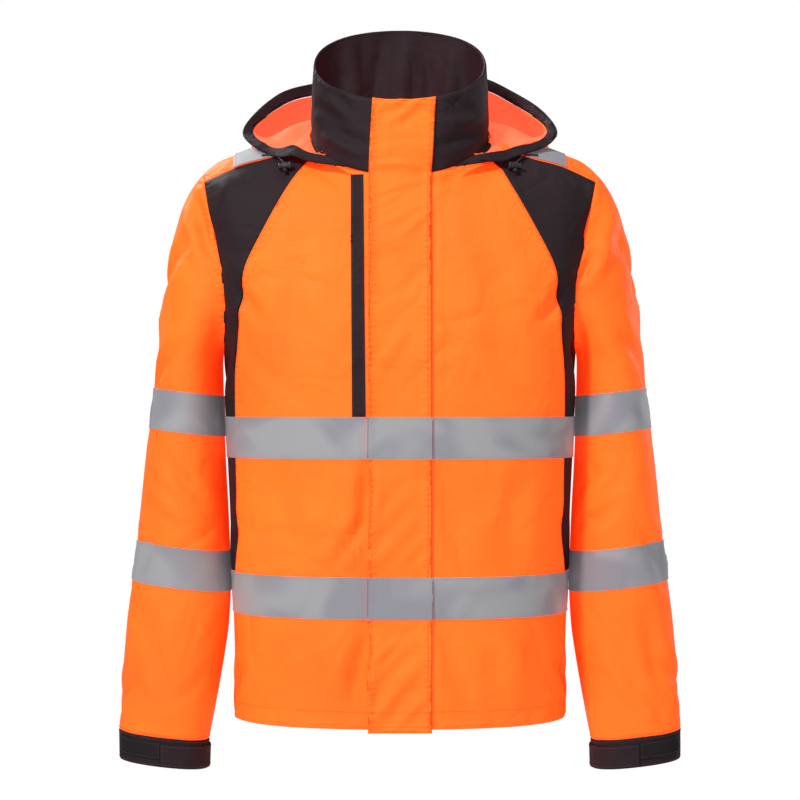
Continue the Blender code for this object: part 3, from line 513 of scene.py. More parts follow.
# A fold's low shoulders, in half widths and in shares of its depth, and how far it reaches
SHOULDER_PLACE = 1.7
SHOULDER_WIDTH = 0.9
SHOULDER_HEIGHT = 0.32
FOLD_REACH = 3.2
# A fold fades towards its ends, and where the cloth turns away from the side it shows on
FOLD_STEPS = 24
FADE_START = 0.06
FADE_SPAN = 0.88
FADE_EASE = 0.8
TURN_AWAY = 2.2


def fold_profile(distance, width):
    """The cross-section of a fold: a soft trough between two low shoulders."""
    middle = np.exp(-((distance / width) ** 2))
    from_shoulder = distance - SHOULDER_PLACE * width
    sides = np.exp(-((from_shoulder / (SHOULDER_WIDTH * width)) ** 2))
    return middle - SHOULDER_HEIGHT * sides


def fold_by(points, normals, folds):
    """Moves points along their normals, down into each fold's trough and up onto its shoulders."""
    moved = np.zeros(len(points))
    steps = np.linspace(0.0, 1.0, FOLD_STEPS + 1)[:, None]
    for side, start, bend, end, width, depth in folds:
        across, along, sign = FOLD_SIDES[side]
        facing = np.clip(normals[:, along] * sign * TURN_AWAY, 0.0, 1.0)
        if along == 0:
            facing = facing * (points[:, 0] * sign > 0)
        first, second, third = np.array(start), np.array(bend), np.array(end)
        line = (1 - steps) ** 2 * first + 2 * (1 - steps) * steps * second + steps**2 * third
        flat = points[:, (across, 2)]
        reach = FOLD_REACH * width
        low, high = line.min(0) - reach, line.max(0) + reach
        near = np.where((facing > 0) & (flat > low).all(1) & (flat < high).all(1))[0]
        if len(near) == 0:
            continue
        gaps = np.linalg.norm(flat[near, None, :] - line[None, :, :], axis=2)
        along_fold = FADE_START + FADE_SPAN * gaps.argmin(1) / FOLD_STEPS
        fade = np.sin(math.pi * along_fold) ** FADE_EASE
        moved[near] -= depth * fade * fold_profile(gaps.min(1), width) * facing[near]
    return points + normals * moved[:, None]


def columns_of(source, what):
    """Each point's place or normal as a row of three numbers."""
    values = np.zeros(len(source) * 3)
    source.foreach_get(what, values)
    return values.reshape(-1, 3)


def apply_folds(data, folds):
    """Folds a mesh along its own normals, as the given folds say."""
    points = columns_of(data.vertices, "co")
    normals = columns_of(data.vertex_normals, "vector")
    data.vertices.foreach_set("co", fold_by(points, normals, folds).ravel())
    data.update()


apply_folds(skin, FOLDS)
skin_tree = BVHTree.FromPolygons(
    [vert.co[:] for vert in skin.vertices],
    [face.vertices[:] for face in skin.polygons],
)


# What all cloth here shares: woven threads seen as a fine grain, a slow change of shade, soft
# dents and sharp creases, and puckers in the strip beside each sewn edge. The weave follows the
# sheet's own unrolled coordinates. Heights are in metres.
CLOTH_GLOSS = 0.16
SLUB_SCALE = (90.0, 1400.0, 1.0)
SLUB_SHARE = 0.30
SHADE_SPAN = (0.25, 0.70)
# A wave texture of scale 1 repeats every 0.314 m
WAVE_PERIOD = 0.314
THREAD_HEIGHT = 0.00004
CRUMPLE_SHARE = 0.12
CREASE_SHARE = 3.0
# A crease is where a slow noise crosses its middle: how far it spreads and how round it is
CREASE_SPREAD = 0.10
CREASE_ROUNDING = 0.05
GATHER_SHARE = 0.8
# The strip beside a sewn edge: unpuckered from the first of these, fully puckered at the second
PUCKER_STRIP = (0.016, 0.003)


def woven(name, colour, darker, painted_glow, strength, roughness, thread, dents, puckers):
    """A cloth's material: its colours, a painted glow, its weave and the heights of its dents and
    puckers.
    """
    material = bpy.data.materials.new(name)
    material.use_nodes = True
    tree = material.node_tree
    shader = tree.nodes["Principled BSDF"]
    shader.inputs["Roughness"].default_value = roughness
    shader.inputs["Specular IOR Level"].default_value = CLOTH_GLOSS
    shader.inputs["Emission Color"].default_value = painted_glow
    shader.inputs["Emission Strength"].default_value = strength

    def node(kind, **values):
        """A shader node with its settings and its inputs' values."""
        made = tree.nodes.new(kind)
        for key, value in values.items():
            if hasattr(made, key):
                setattr(made, key, value)
            else:
                made.inputs[key].default_value = value
        return made

    def noise(**values):
        """Noise that follows the place on the jacket."""
        made = node("ShaderNodeTexNoise", **values)
        tree.links.new(place.outputs["Object"], made.inputs["Vector"])
        return made.outputs["Fac"]

    def waves(direction, **values):
        """Bands that follow the unrolled cloth."""
        made = node("ShaderNodeTexWave", wave_type="BANDS", bands_direction=direction, **values)
        made.inputs["Detail"].default_value = 1.0
        tree.links.new(unrolled.outputs[0], made.inputs["Vector"])
        return made.outputs["Fac"]

    def reckon(operation, *values):
        """A sum or product of numbers and other nodes' outputs."""
        made = tree.nodes.new("ShaderNodeMath")
        made.operation = operation
        for socket, value in zip(made.inputs, values):
            if isinstance(value, (int, float)):
                socket.default_value = value
            else:
                tree.links.new(value, socket)
        return made.outputs[0]

    place = node("ShaderNodeTexCoord")
    unrolled = node("ShaderNodeUVMap", uv_map="cloth")
    stretch = node("ShaderNodeMapping")
    stretch.inputs["Scale"].default_value = SLUB_SCALE
    tree.links.new(unrolled.outputs[0], stretch.inputs["Vector"])
    slub = node("ShaderNodeTexNoise", Scale=1.0, Detail=2.0)
    tree.links.new(stretch.outputs[0], slub.inputs["Vector"])
    share = reckon("MULTIPLY_ADD", slub.outputs["Fac"], SLUB_SHARE, -SLUB_SHARE / 2)
    share = reckon("ADD", noise(Scale=7.0, Detail=3.0, Roughness=0.5), share)
    tone = node("ShaderNodeMix", data_type="RGBA")
    tone.inputs[6].default_value = darker
    tone.inputs[7].default_value = colour
    span = node("ShaderNodeMapRange")
    span.inputs["From Min"].default_value = SHADE_SPAN[0]
    span.inputs["From Max"].default_value = SHADE_SPAN[1]
    tree.links.new(share, span.inputs["Value"])
    tree.links.new(span.outputs[0], tone.inputs[0])
    tree.links.new(tone.outputs[2], shader.inputs["Base Color"])

    warp = waves("X", Scale=WAVE_PERIOD / thread, Distortion=0.6)
    weft = waves("Y", Scale=WAVE_PERIOD / thread, Distortion=0.6)
    grain = reckon("MULTIPLY", reckon("ADD", warp, weft), THREAD_HEIGHT)
    soft = noise(Scale=16.0, Detail=2.0, Distortion=0.8)
    crumple = noise(Scale=55.0, Detail=2.0, Distortion=0.5)
    wander = noise(Scale=5.5, Detail=1.5, Distortion=0.9)
    crease = reckon("ABSOLUTE", reckon("SUBTRACT", wander, 0.5))
    crease = reckon("SMOOTH_MIN", crease, CREASE_SPREAD, CREASE_ROUNDING)
    dent = reckon("MULTIPLY", soft, dents)
    dent = reckon("ADD", dent, reckon("MULTIPLY", crumple, dents * CRUMPLE_SHARE))
    dent = reckon("ADD", dent, reckon("MULTIPLY", crease, dents * CREASE_SHARE))
    edge = node("ShaderNodeAttribute", attribute_name="edge")
    beside = node("ShaderNodeMapRange", interpolation_type="SMOOTHSTEP")
    beside.inputs["From Min"].default_value = PUCKER_STRIP[0]
    beside.inputs["From Max"].default_value = PUCKER_STRIP[1]
    tree.links.new(edge.outputs["Fac"], beside.inputs["Value"])
    tight = noise(Scale=130.0, Detail=1.0)
    gather = waves("Y", Scale=40.0, Distortion=6.0)
    pull = reckon("MULTIPLY", reckon("MULTIPLY", gather, soft), GATHER_SHARE)
    pull = reckon("ADD", tight, pull)
    pucker = reckon("MULTIPLY", reckon("MULTIPLY", pull, beside.outputs[0]), puckers)
    height = reckon("ADD", reckon("ADD", grain, dent), pucker)
    bump = node("ShaderNodeBump")
    bump.inputs["Strength"].default_value = 1.0
    bump.inputs["Distance"].default_value = 1.0
    tree.links.new(height, bump.inputs["Height"])
    tree.links.new(bump.outputs[0], shader.inputs["Normal"])
    return material


ORANGE = (1.0, 0.225, 0.020, 1.0)
ORANGE_DARKER = (0.96, 0.180, 0.017, 1.0)
# Painted glow: a constant red emission that stands in for the cloth's fluorescence and keeps it
# full red in shade
ORANGE_PAINTED_GLOW = (1.0, 0.022, 0.002, 1.0)
NO_GLOW = (0.0, 0.0, 0.0, 1.0)
THREAD_PITCH = 0.0009
CLOTH_DENTS = 0.0064
orange_cloth = woven(
    "fluorescent_orange_cloth",
    ORANGE,
    ORANGE_DARKER,
    ORANGE_PAINTED_GLOW,
    strength=0.80,
    roughness=0.62,
    thread=THREAD_PITCH,
    dents=CLOTH_DENTS,
    puckers=0.0016,
)
BLACK = (0.028, 0.0165, 0.0205, 1.0)
BLACK_DARKER = (0.020, 0.012, 0.015, 1.0)
black_cloth = woven(
    "black_cloth",
    BLACK,
    BLACK_DARKER,
    NO_GLOW,
    strength=0.0,
    roughness=0.72,
    thread=THREAD_PITCH,
    dents=CLOTH_DENTS,
    puckers=0.0007,
)


def unroll(sheet, centre, out, radius):
    """Gives a sheet its unrolled coordinates, in metres, round an upright line.

    They start on the side that faces out.
    """
    layer = sheet.loops.layers.uv.new("cloth")
    facing = math.atan2(out[0], -out[1])
    for face in sheet.faces:
        first = None
        for loop in face.loops:
            place = loop.vert.co
            angle = math.atan2(place.x - centre[0], -(place.y - centre[1])) - facing
            angle = (angle + math.pi) % (2 * math.pi) - math.pi
            if first is None:
                first = angle
            angle += 2 * math.pi * round((first - angle) / (2 * math.pi))
            loop[layer].uv = (angle * radius, place.z)


def border_of(sheet):
    """The open border of a sheet as lines of points, and the way into the sheet at each."""
    inward, following = {}, {}
    for edge in sheet.edges:
        if not edge.is_boundary:
            continue
        face = edge.link_faces[0]
        for loop in face.loops:
            if loop.edge == edge:
                start, end = loop.vert, loop.link_loop_next.vert
        side = face.normal.cross(end.co - start.co).normalized()
        following[start] = end
        for vert in (start, end):
            inward[vert] = inward.get(vert, Vector()) + side
    lines = []
    left = dict(following)
    while left:
        start = next(iter(left))
        line = [start]
        while line[-1] in left:
            line.append(left.pop(line[-1]))
        lines.append(line)
    return lines, inward


# Sewing: each line of stitches is a row of short rounded threads, pressed into the cloth, in
# thread of the cloth's own colour, or pink on the bands. Rows of dark brown threads along the
# flap's edges are a painted shadow line, where the flap's edge steps down to the cloth below.
STITCH_LENGTH = 0.0027
STITCH_GAP = 0.0011
STITCH_FLATNESS = 0.7
STITCH_LIFT = 0.0002
STITCH_RADIUS = {"orange": 0.00034, "painted_shadow_line": 0.00045, "black": 0.00034, "pink": 0.00040}
rows_of_stitches = {colour: [] for colour in STITCH_RADIUS}
# A border runs clearly one way when the way into the sheet has at least this share of that axis
CLEARLY = 0.6
CLOTH_WALL = 0.0014
EDGE_ROLL = 0.0005
EDGE_ROUND = 0.0016


def stitches_along(line, colour):
    """One row of stitches along a line of (point, normal)."""
    radius = STITCH_RADIUS[colour]
    if len(line) < 2:
        return
    points = np.array([p for p, _ in line])
    normals = np.array([n for _, n in line])
    lengths = np.r_[0.0, np.cumsum(np.linalg.norm(np.diff(points, axis=0), axis=1))]
    pitch = STITCH_LENGTH + STITCH_GAP
    row = bmesh.new()
    for k in range(int(lengths[-1] / pitch)):
        ends = [k * pitch, k * pitch + STITCH_LENGTH]
        middle = sum(ends) / 2
        wanted = ((ends[0], points), (ends[1], points), (middle, points), (middle, normals))
        start, end, place, up = (
            Vector([np.interp(at, lengths, source[:, i]) for i in range(3)])
            for at, source in wanted
        )
        along = (end - start).normalized()
        side = along.cross(up).normalized()
        up = side.cross(along)
        axes = (side * radius, up * radius * STITCH_FLATNESS, along * STITCH_LENGTH / 2)
        turn = Matrix(axes).transposed().to_4x4()
        turn.translation = place
        bmesh.ops.create_uvsphere(row, u_segments=6, v_segments=4, radius=1.0, matrix=turn)
    data = bpy.data.meshes.new("stitches")
    row.to_mesh(data)
    row.free()
    rows_of_stitches[colour].append(data)


def sew_border(sheet, colour, insets, keep=None):
    """Rows of stitches inside a sheet's border, at the insets given.

    keep says of a point on the border, and of the way into the sheet there, whether to sew.
    """
    tree = BVHTree.FromBMesh(sheet)
    lines, inward = border_of(sheet)
    for line in lines:
        for inset in insets:
            run = []
            for vert in line:
                wanted = keep is None or keep(vert.co, inward[vert].normalized())
                if wanted:
                    place = vert.co + inward[vert].normalized() * inset
                    hit, normal, _, _ = tree.find_nearest(place)
                    run.append((hit + normal * STITCH_LIFT, normal))
                if not wanted or vert is line[-1]:
                    stitches_along(run, colour)
                    run = []


def sideways(point, inward):
    """Picks the borders at a sheet's left and right."""
    return abs(inward.x) > CLEARLY


def up_or_down(point, inward):
    """Picks a sheet's upper and lower borders."""
    return abs(inward.z) > CLEARLY


def mark_edges(data, border):
    """Stores how far each point is from the nearest of the border's points."""
    tree = KDTree(len(border))
    for k, place in enumerate(border):
        tree.insert(place, k)
    tree.balance()
    layer = data.attributes.new("edge", "FLOAT", "POINT")
    layer.data.foreach_set("value", [tree.find(vert.co)[2] for vert in data.vertices])


def as_cloth(
    sheet,
    node,
    material,
    wall=CLOTH_WALL,
    roll=EDGE_ROLL,
    rounded=EDGE_ROUND,
    kind="cloth",
):
    """Turns a sheet into the finished piece that replaces a node.

    Its edges roll in by roll over a strip as wide as rounded, or stay cut square if that is 0.
    """
    name = f"{node}_{kind}"
    border = [vert.co.copy() for vert in sheet.verts if vert.is_boundary]
    if rounded > 0:
        bmesh.ops.inset_region(
            sheet,
            faces=sheet.faces,
            thickness=rounded,
            use_boundary=True,
            use_even_offset=True,
        )
    else:
        for edge in sheet.edges:
            edge.smooth = not edge.is_boundary
    normals = {vert: vert.normal.copy() for vert in sheet.verts if vert.is_boundary}
    for vert, normal in normals.items():
        vert.co -= normal * roll
    data = bpy.data.meshes.new(name)
    for face in sheet.faces:
        face.material_index = 0
        face.smooth = True
    sheet.to_mesh(data)
    sheet.free()
    mark_edges(data, border)
    data.materials.append(material)
    item = bpy.data.objects.new(name, data)
    scene.collection.objects.link(item)
    thick = item.modifiers.new("thickness", "SOLIDIFY")
    thick.thickness = wall
    thick.offset = -1.0
    thick.use_rim = True
    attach(item, "root")
    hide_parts(node)
    return item


def cut_from(whole, number):
    """The part of a skin that belongs to one panel, by its number."""
    sheet = bmesh.new()
    sheet.from_mesh(whole)
    others = [face for face in sheet.faces if face.material_index != number]
    bmesh.ops.delete(sheet, geom=others, context="FACES")
    return sheet


# Fronts, strips under the arms, back and shoulders: orange cloth, with black cloth over the
# front of the shoulders and down under the arms. Seams are topstitched on the orange side, and
# the hem is turned up and sewn 21 mm above its edge.
HEM = -0.717
HEM_ZONE = 0.004
HEM_STITCH = 0.021
SEAM_STITCH = 0.0022
SECOND_STITCH = 0.0075
BODY_RADIUS = 0.20
# How far from the middle a front's hem and side seams start, and the part of the back over the
# shoulders
UNDER_FLAP = 0.035
BESIDE_FLAP = 0.05
YOKE_LOWEST = -0.30
YOKE_HALF_WIDTH = 0.23
# Each panel's material, slot, flat size, area and the way it faces, as (x, y)
BODY = {
    "front_left": (orange_cloth, "orange_cloth", (0.29, 0.70), 0.142, (0.0, -1.0)),
    "front_right": (orange_cloth, "orange_cloth", (0.29, 0.70), 0.142, (0.0, -1.0)),
    "side_lower_left": (orange_cloth, "orange_cloth", (0.09, 0.18), 0.0148, (1.0, 0.0)),
    "side_lower_right": (orange_cloth, "orange_cloth", (0.09, 0.18), 0.0148, (-1.0, 0.0)),
    "shoulder_side_left": (black_cloth, "black_cloth", (0.22, 0.56), 0.050, (1.0, 0.0)),
    "shoulder_side_right": (black_cloth, "black_cloth", (0.22, 0.56), 0.050, (-1.0, 0.0)),
    "back": (orange_cloth, "orange_cloth", (0.60, 0.80), 0.40, (0.0, 1.0)),
}


def at_hem(point, inward):
    """Picks the border at the hem."""
    return point.z < HEM + HEM_ZONE


def at_front_hem(point, inward):
    """Picks a front's hem up to the storm flap."""
    return at_hem(point, inward) and abs(point.x) > UNDER_FLAP


def at_front_seams(point, inward):
    """Picks a front's seams above the hem and beside the flap."""
    return abs(point.x) > BESIDE_FLAP and point.z > HEM + HEM_ZONE


def at_back_yoke(point, inward):
    """Picks the back's seams over the shoulders."""
    return point.z > YOKE_LOWEST and abs(point.x) < YOKE_HALF_WIDTH


for name, (material, slot, flat, area, out) in BODY.items():
    sheet = cut_from(skin, PANELS.index(name))
    unroll(sheet, (0.0, 0.0), out, BODY_RADIUS)
    if name.startswith("front"):
        sew_border(sheet, "orange", (SEAM_STITCH,), keep=at_front_seams)
        sew_border(sheet, "orange", (HEM_STITCH,), keep=at_front_hem)
    elif name == "back":
        sew_border(sheet, "orange", (SEAM_STITCH, SECOND_STITCH), keep=at_back_yoke)
        sew_border(sheet, "orange", (HEM_STITCH,), keep=at_hem)
    elif name.startswith("side_lower"):
        sew_border(sheet, "orange", (HEM_STITCH,), keep=at_hem)
    as_cloth(sheet, name, material)


# Collar: high, two layers of black cloth, stiff enough to stand by itself; its rim is rolled and
# topstitched.
COLLAR_WALL = 0.0026
COLLAR_ROLL = 0.0008
COLLAR_RADIUS = 0.10
COLLAR_STITCH = 0.0035
POINTS_DOWN = -0.3


def at_rim(point, inward):
    """Picks the collar's upper edge, where the cloth lies below the border."""
    return inward.z < POINTS_DOWN


sheet = cut_from(skin, PANELS.index("collar"))
unroll(sheet, (0.0, 0.0), (0.0, 1.0), COLLAR_RADIUS)
sew_border(sheet, "black", (COLLAR_STITCH,), keep=at_rim)
as_cloth(
    sheet,
    "collar",
    black_cloth,
    wall=COLLAR_WALL,
    roll=COLLAR_ROLL,
)


# Sleeves and cuffs: orange tubes set into the armholes, ending in bands of black cloth that are
# sewn on and topstitched along both edges.
SLEEVE_MIDDLE = (0.27, 0.01)
SLEEVE_RADIUS = 0.065
LOWER_ARM = -0.60
CUFF_MIDDLE = (0.292, -0.006)
CUFF_RADIUS = 0.05
CUFF_STITCH = 0.0025


def at_wrist(point, inward):
    """Picks a sleeve's lower end."""
    return point.z < LOWER_ARM


for side, sign in (("left", 1.0), ("right", -1.0)):
    sheet = cut_from(skin, PANELS.index("sleeve_" + side))
    unroll(sheet, (sign * SLEEVE_MIDDLE[0], SLEEVE_MIDDLE[1]), (sign, 0.0), SLEEVE_RADIUS)
    sew_border(sheet, "orange", (CUFF_STITCH,), keep=at_wrist)
    as_cloth(sheet, "sleeve_" + side, orange_cloth)
    sheet = cut_from(skin, PANELS.index("cuff_" + side))
    unroll(sheet, (sign * CUFF_MIDDLE[0], CUFF_MIDDLE[1]), (sign, 0.0), CUFF_RADIUS)
    sew_border(sheet, "black", (CUFF_STITCH,))
    as_cloth(sheet, "cuff_" + side, black_cloth)


# Reflective bands: grey tape of glass beads on cloth, 50 mm wide, sewn on along both edges. They
# glitter a little, and a faint painted glow stands in for the light that they return to where it
# comes from. Like all that is laid on the cloth, they keep the outline of their solids and follow
# the folded skin below them.
TAPE_WALL = 0.0005
TAPE_LIFT = 0.0010
BRACE_LIFT = 0.0018
TAPE_ROLL = 0.0001
TAPE_STITCH = 0.0018
TAPE_END_STITCHES = (0.0020, 0.0068)
TAPE_RADIUS = 0.2
# A band's outer side is told from a point inside the body, this far below the band's middle
INSIDE_DROP = 0.02
UNDER_ARM = 0.15
UPRIGHT_END = 0.5


def laid_sheet(name, middle, lift, levels=2, folds=(), under=skin_tree):
    """The outer side of a solid, smoothed and set a height above what lies under it."""
    sheet = bmesh.new()
    outer_side(sheet, name, 0, middle)
    even_out(sheet)
    data = smoothed(sheet, name, levels)
    sheet = bmesh.new()
    sheet.from_mesh(data)
    bpy.data.meshes.remove(data)
    for vert in sheet.verts:
        place, normal, _, _ = under.find_nearest(vert.co)
        vert.co += normal * (lift - (vert.co - place).dot(normal))
    sheet.normal_update()
    if folds:
        points = np.array([v.co for v in sheet.verts])
        normals = np.array([v.normal for v in sheet.verts])
        for vert, place in zip(sheet.verts, fold_by(points, normals, folds)):
            vert.co = place
        sheet.normal_update()
    return sheet


reflective = bpy.data.materials.new("reflective_tape")
reflective.use_nodes = True
tape_tree = reflective.node_tree
tape_shader = tape_tree.nodes["Principled BSDF"]
tape_shader.inputs["Roughness"].default_value = 0.55
tape_shader.inputs["Specular IOR Level"].default_value = 0.35
# Painted glow: a faint constant emission that keeps the tape grey in shade
tape_shader.inputs["Emission Color"].default_value = (0.92, 0.92, 1.0, 1.0)
tape_shader.inputs["Emission Strength"].default_value = 0.05
tape_place = tape_tree.nodes.new("ShaderNodeTexCoord")
beads = tape_tree.nodes.new("ShaderNodeTexVoronoi")
beads.inputs["Scale"].default_value = 1400.0
# Light and dark patches along the tape, from a slow noise between two greys
tape_patches = tape_tree.nodes.new("ShaderNodeTexNoise")
tape_patches.inputs["Scale"].default_value = 13.0
tape_patches.inputs["Detail"].default_value = 1.0
tape_patches.inputs["Distortion"].default_value = 0.7
for texture in (beads, tape_patches):
    tape_tree.links.new(tape_place.outputs["Object"], texture.inputs["Vector"])
tape_tone = tape_tree.nodes.new("ShaderNodeValToRGB")
tape_tone.color_ramp.elements[0].position = 0.40
tape_tone.color_ramp.elements[0].color = (0.255, 0.252, 0.282, 1.0)
tape_tone.color_ramp.elements[1].position = 0.56
tape_tone.color_ramp.elements[1].color = (0.330, 0.333, 0.348, 1.0)
tape_tree.links.new(tape_patches.outputs["Fac"], tape_tone.inputs["Fac"])
tape_tree.links.new(tape_tone.outputs["Color"], tape_shader.inputs["Base Color"])
tape_wave = tape_tree.nodes.new("ShaderNodeTexNoise")
tape_wave.inputs["Scale"].default_value = 34.0
tape_tree.links.new(tape_place.outputs["Object"], tape_wave.inputs["Vector"])
tape_bump = tape_tree.nodes.new("ShaderNodeBump")
tape_bump.inputs["Distance"].default_value = 0.0007
tape_bump.inputs["Strength"].default_value = 1.0
tape_tree.links.new(tape_wave.outputs["Fac"], tape_bump.inputs["Height"])
bead_bump = tape_tree.nodes.new("ShaderNodeBump")
bead_bump.inputs["Distance"].default_value = 0.00005
bead_bump.inputs["Strength"].default_value = 0.6
tape_tree.links.new(beads.outputs["Distance"], bead_bump.inputs["Height"])
tape_tree.links.new(tape_bump.outputs[0], bead_bump.inputs["Normal"])
tape_tree.links.new(bead_bump.outputs[0], tape_shader.inputs["Normal"])


def at_outer_end(point, inward):
    """Picks the end of a band on the fronts that is under the arm."""
    return abs(point.x) > UNDER_ARM and abs(inward.z) < UPRIGHT_END


def as_tape(sheet, node):
    """Finishes a band: thin, with its edges cut square."""
    as_cloth(
        sheet,
        node,
        reflective,
        wall=TAPE_WALL,
        roll=TAPE_ROLL,
        rounded=0,
        kind="tape",
    )


# Each band's flat size: along it and across it, but across and down for the braces
TAPES = {
    "band_lower_front_left": (0.200, 0.050),
    "band_lower_front_right": (0.200, 0.050),
    "band_upper_front_left": (0.185, 0.050),
    "band_upper_front_right": (0.185, 0.050),
    "band_lower_side_left": (0.088, 0.050),
    "band_lower_side_right": (0.088, 0.050),
    "band_upper_side_left": (0.116, 0.050),
    "band_upper_side_right": (0.116, 0.050),
    "band_lower_back": (0.496, 0.050),
    "band_upper_back": (0.522, 0.050),
    "band_lower_sleeve_left": (0.420, 0.050),
    "band_lower_sleeve_right": (0.420, 0.050),
    "band_upper_sleeve_left": (0.430, 0.050),
    "band_upper_sleeve_right": (0.430, 0.050),
    "brace_left": (0.058, 0.470),
    "brace_right": (0.058, 0.470),
}
for name, flat in TAPES.items():
    low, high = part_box(name)
    middle = (low + high) / 2
    if "sleeve" not in name:
        middle = Vector((0.0, 0.0, middle.z - INSIDE_DROP))
    if name.startswith("brace"):
        sheet = laid_sheet(name, middle, BRACE_LIFT, levels=3)
    else:
        sheet = laid_sheet(name, middle, TAPE_LIFT)
    unroll(sheet, (middle.x, middle.y), (0.0, -1.0), TAPE_RADIUS)
    long_edges = sideways if name.startswith("brace") else up_or_down
    sew_border(sheet, "pink", (TAPE_STITCH,), keep=long_edges)
    if "_front_" in name:
        sew_border(sheet, "pink", TAPE_END_STITCHES, keep=at_outer_end)
    as_tape(sheet, name)


# Storm flap: orange cloth over the front opening, from below the hem up to the collar's rim,
# sewn down on the wearer's left and free on the right, with its own pieces of reflective tape
# that wrap its edges.
FLAP_INSIDE = (0.0, 0.3, -0.35)
FLAP_TAPE_INSIDE = (0.0, 0.3, -0.46)
FRONT_RADIUS = 0.14
FLAP_LIFT = 0.0030
FLAP_ROLL = 0.0007
FLAP_FREE_STITCH = 0.0045
FLAP_SEWN_STITCH = 0.0048
FLAP_HEM_STITCH = 0.0250
FLAP_EDGE_SHADOW_INSET = 0.0004
# The free side stands off the front in slow waves: from where across, over how much, how far at
# least, how much more at a wave's top, and the waves' turn for each metre
FREE_FROM = -0.028
FREE_WIDTH = 0.010
FREE_LIFT = 0.0012
FREE_WAVE = 0.0012
FREE_TURN = 34.0
FLAP_TAPE_LIFT = 0.0008
FLAP_TAPE_WRAP = 1.025
FLAP_TAPE_STITCH = 0.0045
FLAP_FOLDS = (
    ("front", (-0.036, -0.716), (-0.004, -0.664), (0.032, -0.632), 0.0070, -0.0040),
    ("front", (-0.034, -0.676), (-0.010, -0.648), (0.022, -0.618), 0.0055, 0.0016),
    ("front", (-0.006, -0.718), (0.010, -0.694), (0.036, -0.672), 0.0060, -0.0032),
    ("front", (-0.036, -0.640), (-0.020, -0.626), (0.000, -0.606), 0.0045, -0.0022),
    ("front", (-0.034, -0.524), (-0.010, -0.500), (0.020, -0.460), 0.0080, -0.0026),
    ("front", (-0.034, -0.470), (-0.016, -0.450), (0.010, -0.420), 0.0070, 0.0015),
    ("front", (0.004, -0.530), (0.018, -0.510), (0.036, -0.500), 0.0055, 0.0014),
    ("front", (-0.034, -0.084), (0.000, -0.070), (0.036, -0.062), 0.0040, -0.0028),
    ("front", (-0.036, -0.104), (-0.010, -0.096), (0.022, -0.076), 0.0040, 0.0015),
    ("front", (-0.030, -0.122), (-0.006, -0.114), (0.014, -0.100), 0.0045, -0.0018),
    ("front", (0.000, -0.134), (0.016, -0.120), (0.036, -0.104), 0.0045, -0.0018),
    ("front", (-0.034, -0.048), (0.000, -0.040), (0.026, -0.050), 0.0040, -0.0026),
    ("front", (-0.028, -0.020), (0.002, -0.010), (0.034, -0.016), 0.0045, 0.0014),
    ("front", (-0.016, 0.004), (0.006, 0.014), (0.024, 0.034), 0.0050, -0.0026),
    ("front", (-0.034, 0.026), (-0.014, 0.022), (0.010, 0.038), 0.0045, -0.0018),
    ("front", (-0.030, -0.300), (-0.012, -0.270), (0.012, -0.240), 0.0080, -0.0018),
    ("front", (0.004, -0.200), (0.016, -0.180), (0.032, -0.170), 0.0070, 0.0014),
)


def ramp(value, span):
    """Grows from 0 to 1 over a span."""
    return min(1.0, max(0.0, value / span))


def at_free_side(point, inward):
    """Picks the flap's side on the wearer's right."""
    return inward.x > CLEARLY


def at_sewn_side(point, inward):
    """Picks the flap's side on the wearer's left."""
    return inward.x < -CLEARLY


def at_lower_end(point, inward):
    """Picks the flap's lower end."""
    return inward.z > CLEARLY


sheet = laid_sheet("storm_flap", Vector(FLAP_INSIDE), FLAP_LIFT, levels=3, folds=FLAP_FOLDS)
for vert in sheet.verts:
    free_side = ramp(FREE_FROM - vert.co.x, FREE_WIDTH)
    wave = 0.5 + 0.5 * math.sin(vert.co.z * FREE_TURN)
    vert.co.y -= free_side * (FREE_LIFT + FREE_WAVE * wave)
sheet.normal_update()
flap_tree = BVHTree.FromBMesh(sheet)
unroll(sheet, (0.0, 0.0), (0.0, -1.0), FRONT_RADIUS)
sew_border(sheet, "orange", (FLAP_FREE_STITCH,), keep=at_free_side)
sew_border(sheet, "orange", (FLAP_SEWN_STITCH,), keep=at_sewn_side)
# A painted shadow line: dark brown threads at the very edge of the flap's sewn side
sew_border(sheet, "painted_shadow_line", (FLAP_EDGE_SHADOW_INSET,), keep=at_sewn_side)
sew_border(sheet, "orange", (FLAP_HEM_STITCH,), keep=at_lower_end)
as_cloth(sheet, "storm_flap", orange_cloth, roll=FLAP_ROLL)
for name in ("band_lower_flap", "band_upper_flap"):
    sheet = laid_sheet(name, Vector(FLAP_TAPE_INSIDE), FLAP_TAPE_LIFT, under=flap_tree)
    for vert in sheet.verts:
        vert.co.x *= FLAP_TAPE_WRAP
    unroll(sheet, (0.0, 0.0), (0.0, -1.0), FRONT_RADIUS)
    sew_border(sheet, "pink", (TAPE_STITCH,), keep=up_or_down)
    sew_border(sheet, "pink", (FLAP_TAPE_STITCH,), keep=sideways)
    # A painted shadow line: dark brown threads where the flap's edges cross the band
    sew_border(sheet, "painted_shadow_line", (FLAP_EDGE_SHADOW_INSET,), keep=sideways)
    as_tape(sheet, name)


# Pocket edging: a welt of black cloth beside the flap, over an upright pocket's opening, sewn on
# along both edges.
EDGING_INSIDE = (0.0, 0.3, -0.2)
EDGING_LIFT = 0.0012
EDGING_STITCH = 0.0020
sheet = laid_sheet("pocket_edging", Vector(EDGING_INSIDE), EDGING_LIFT)
unroll(sheet, (0.0, 0.0), (0.0, -1.0), FRONT_RADIUS)
sew_border(sheet, "black", (EDGING_STITCH,), keep=sideways)
as_cloth(
    sheet,
    "pocket_edging",
    black_cloth,
    wall=0.0010,
    roll=0.0003,
    rounded=0.0012,
)


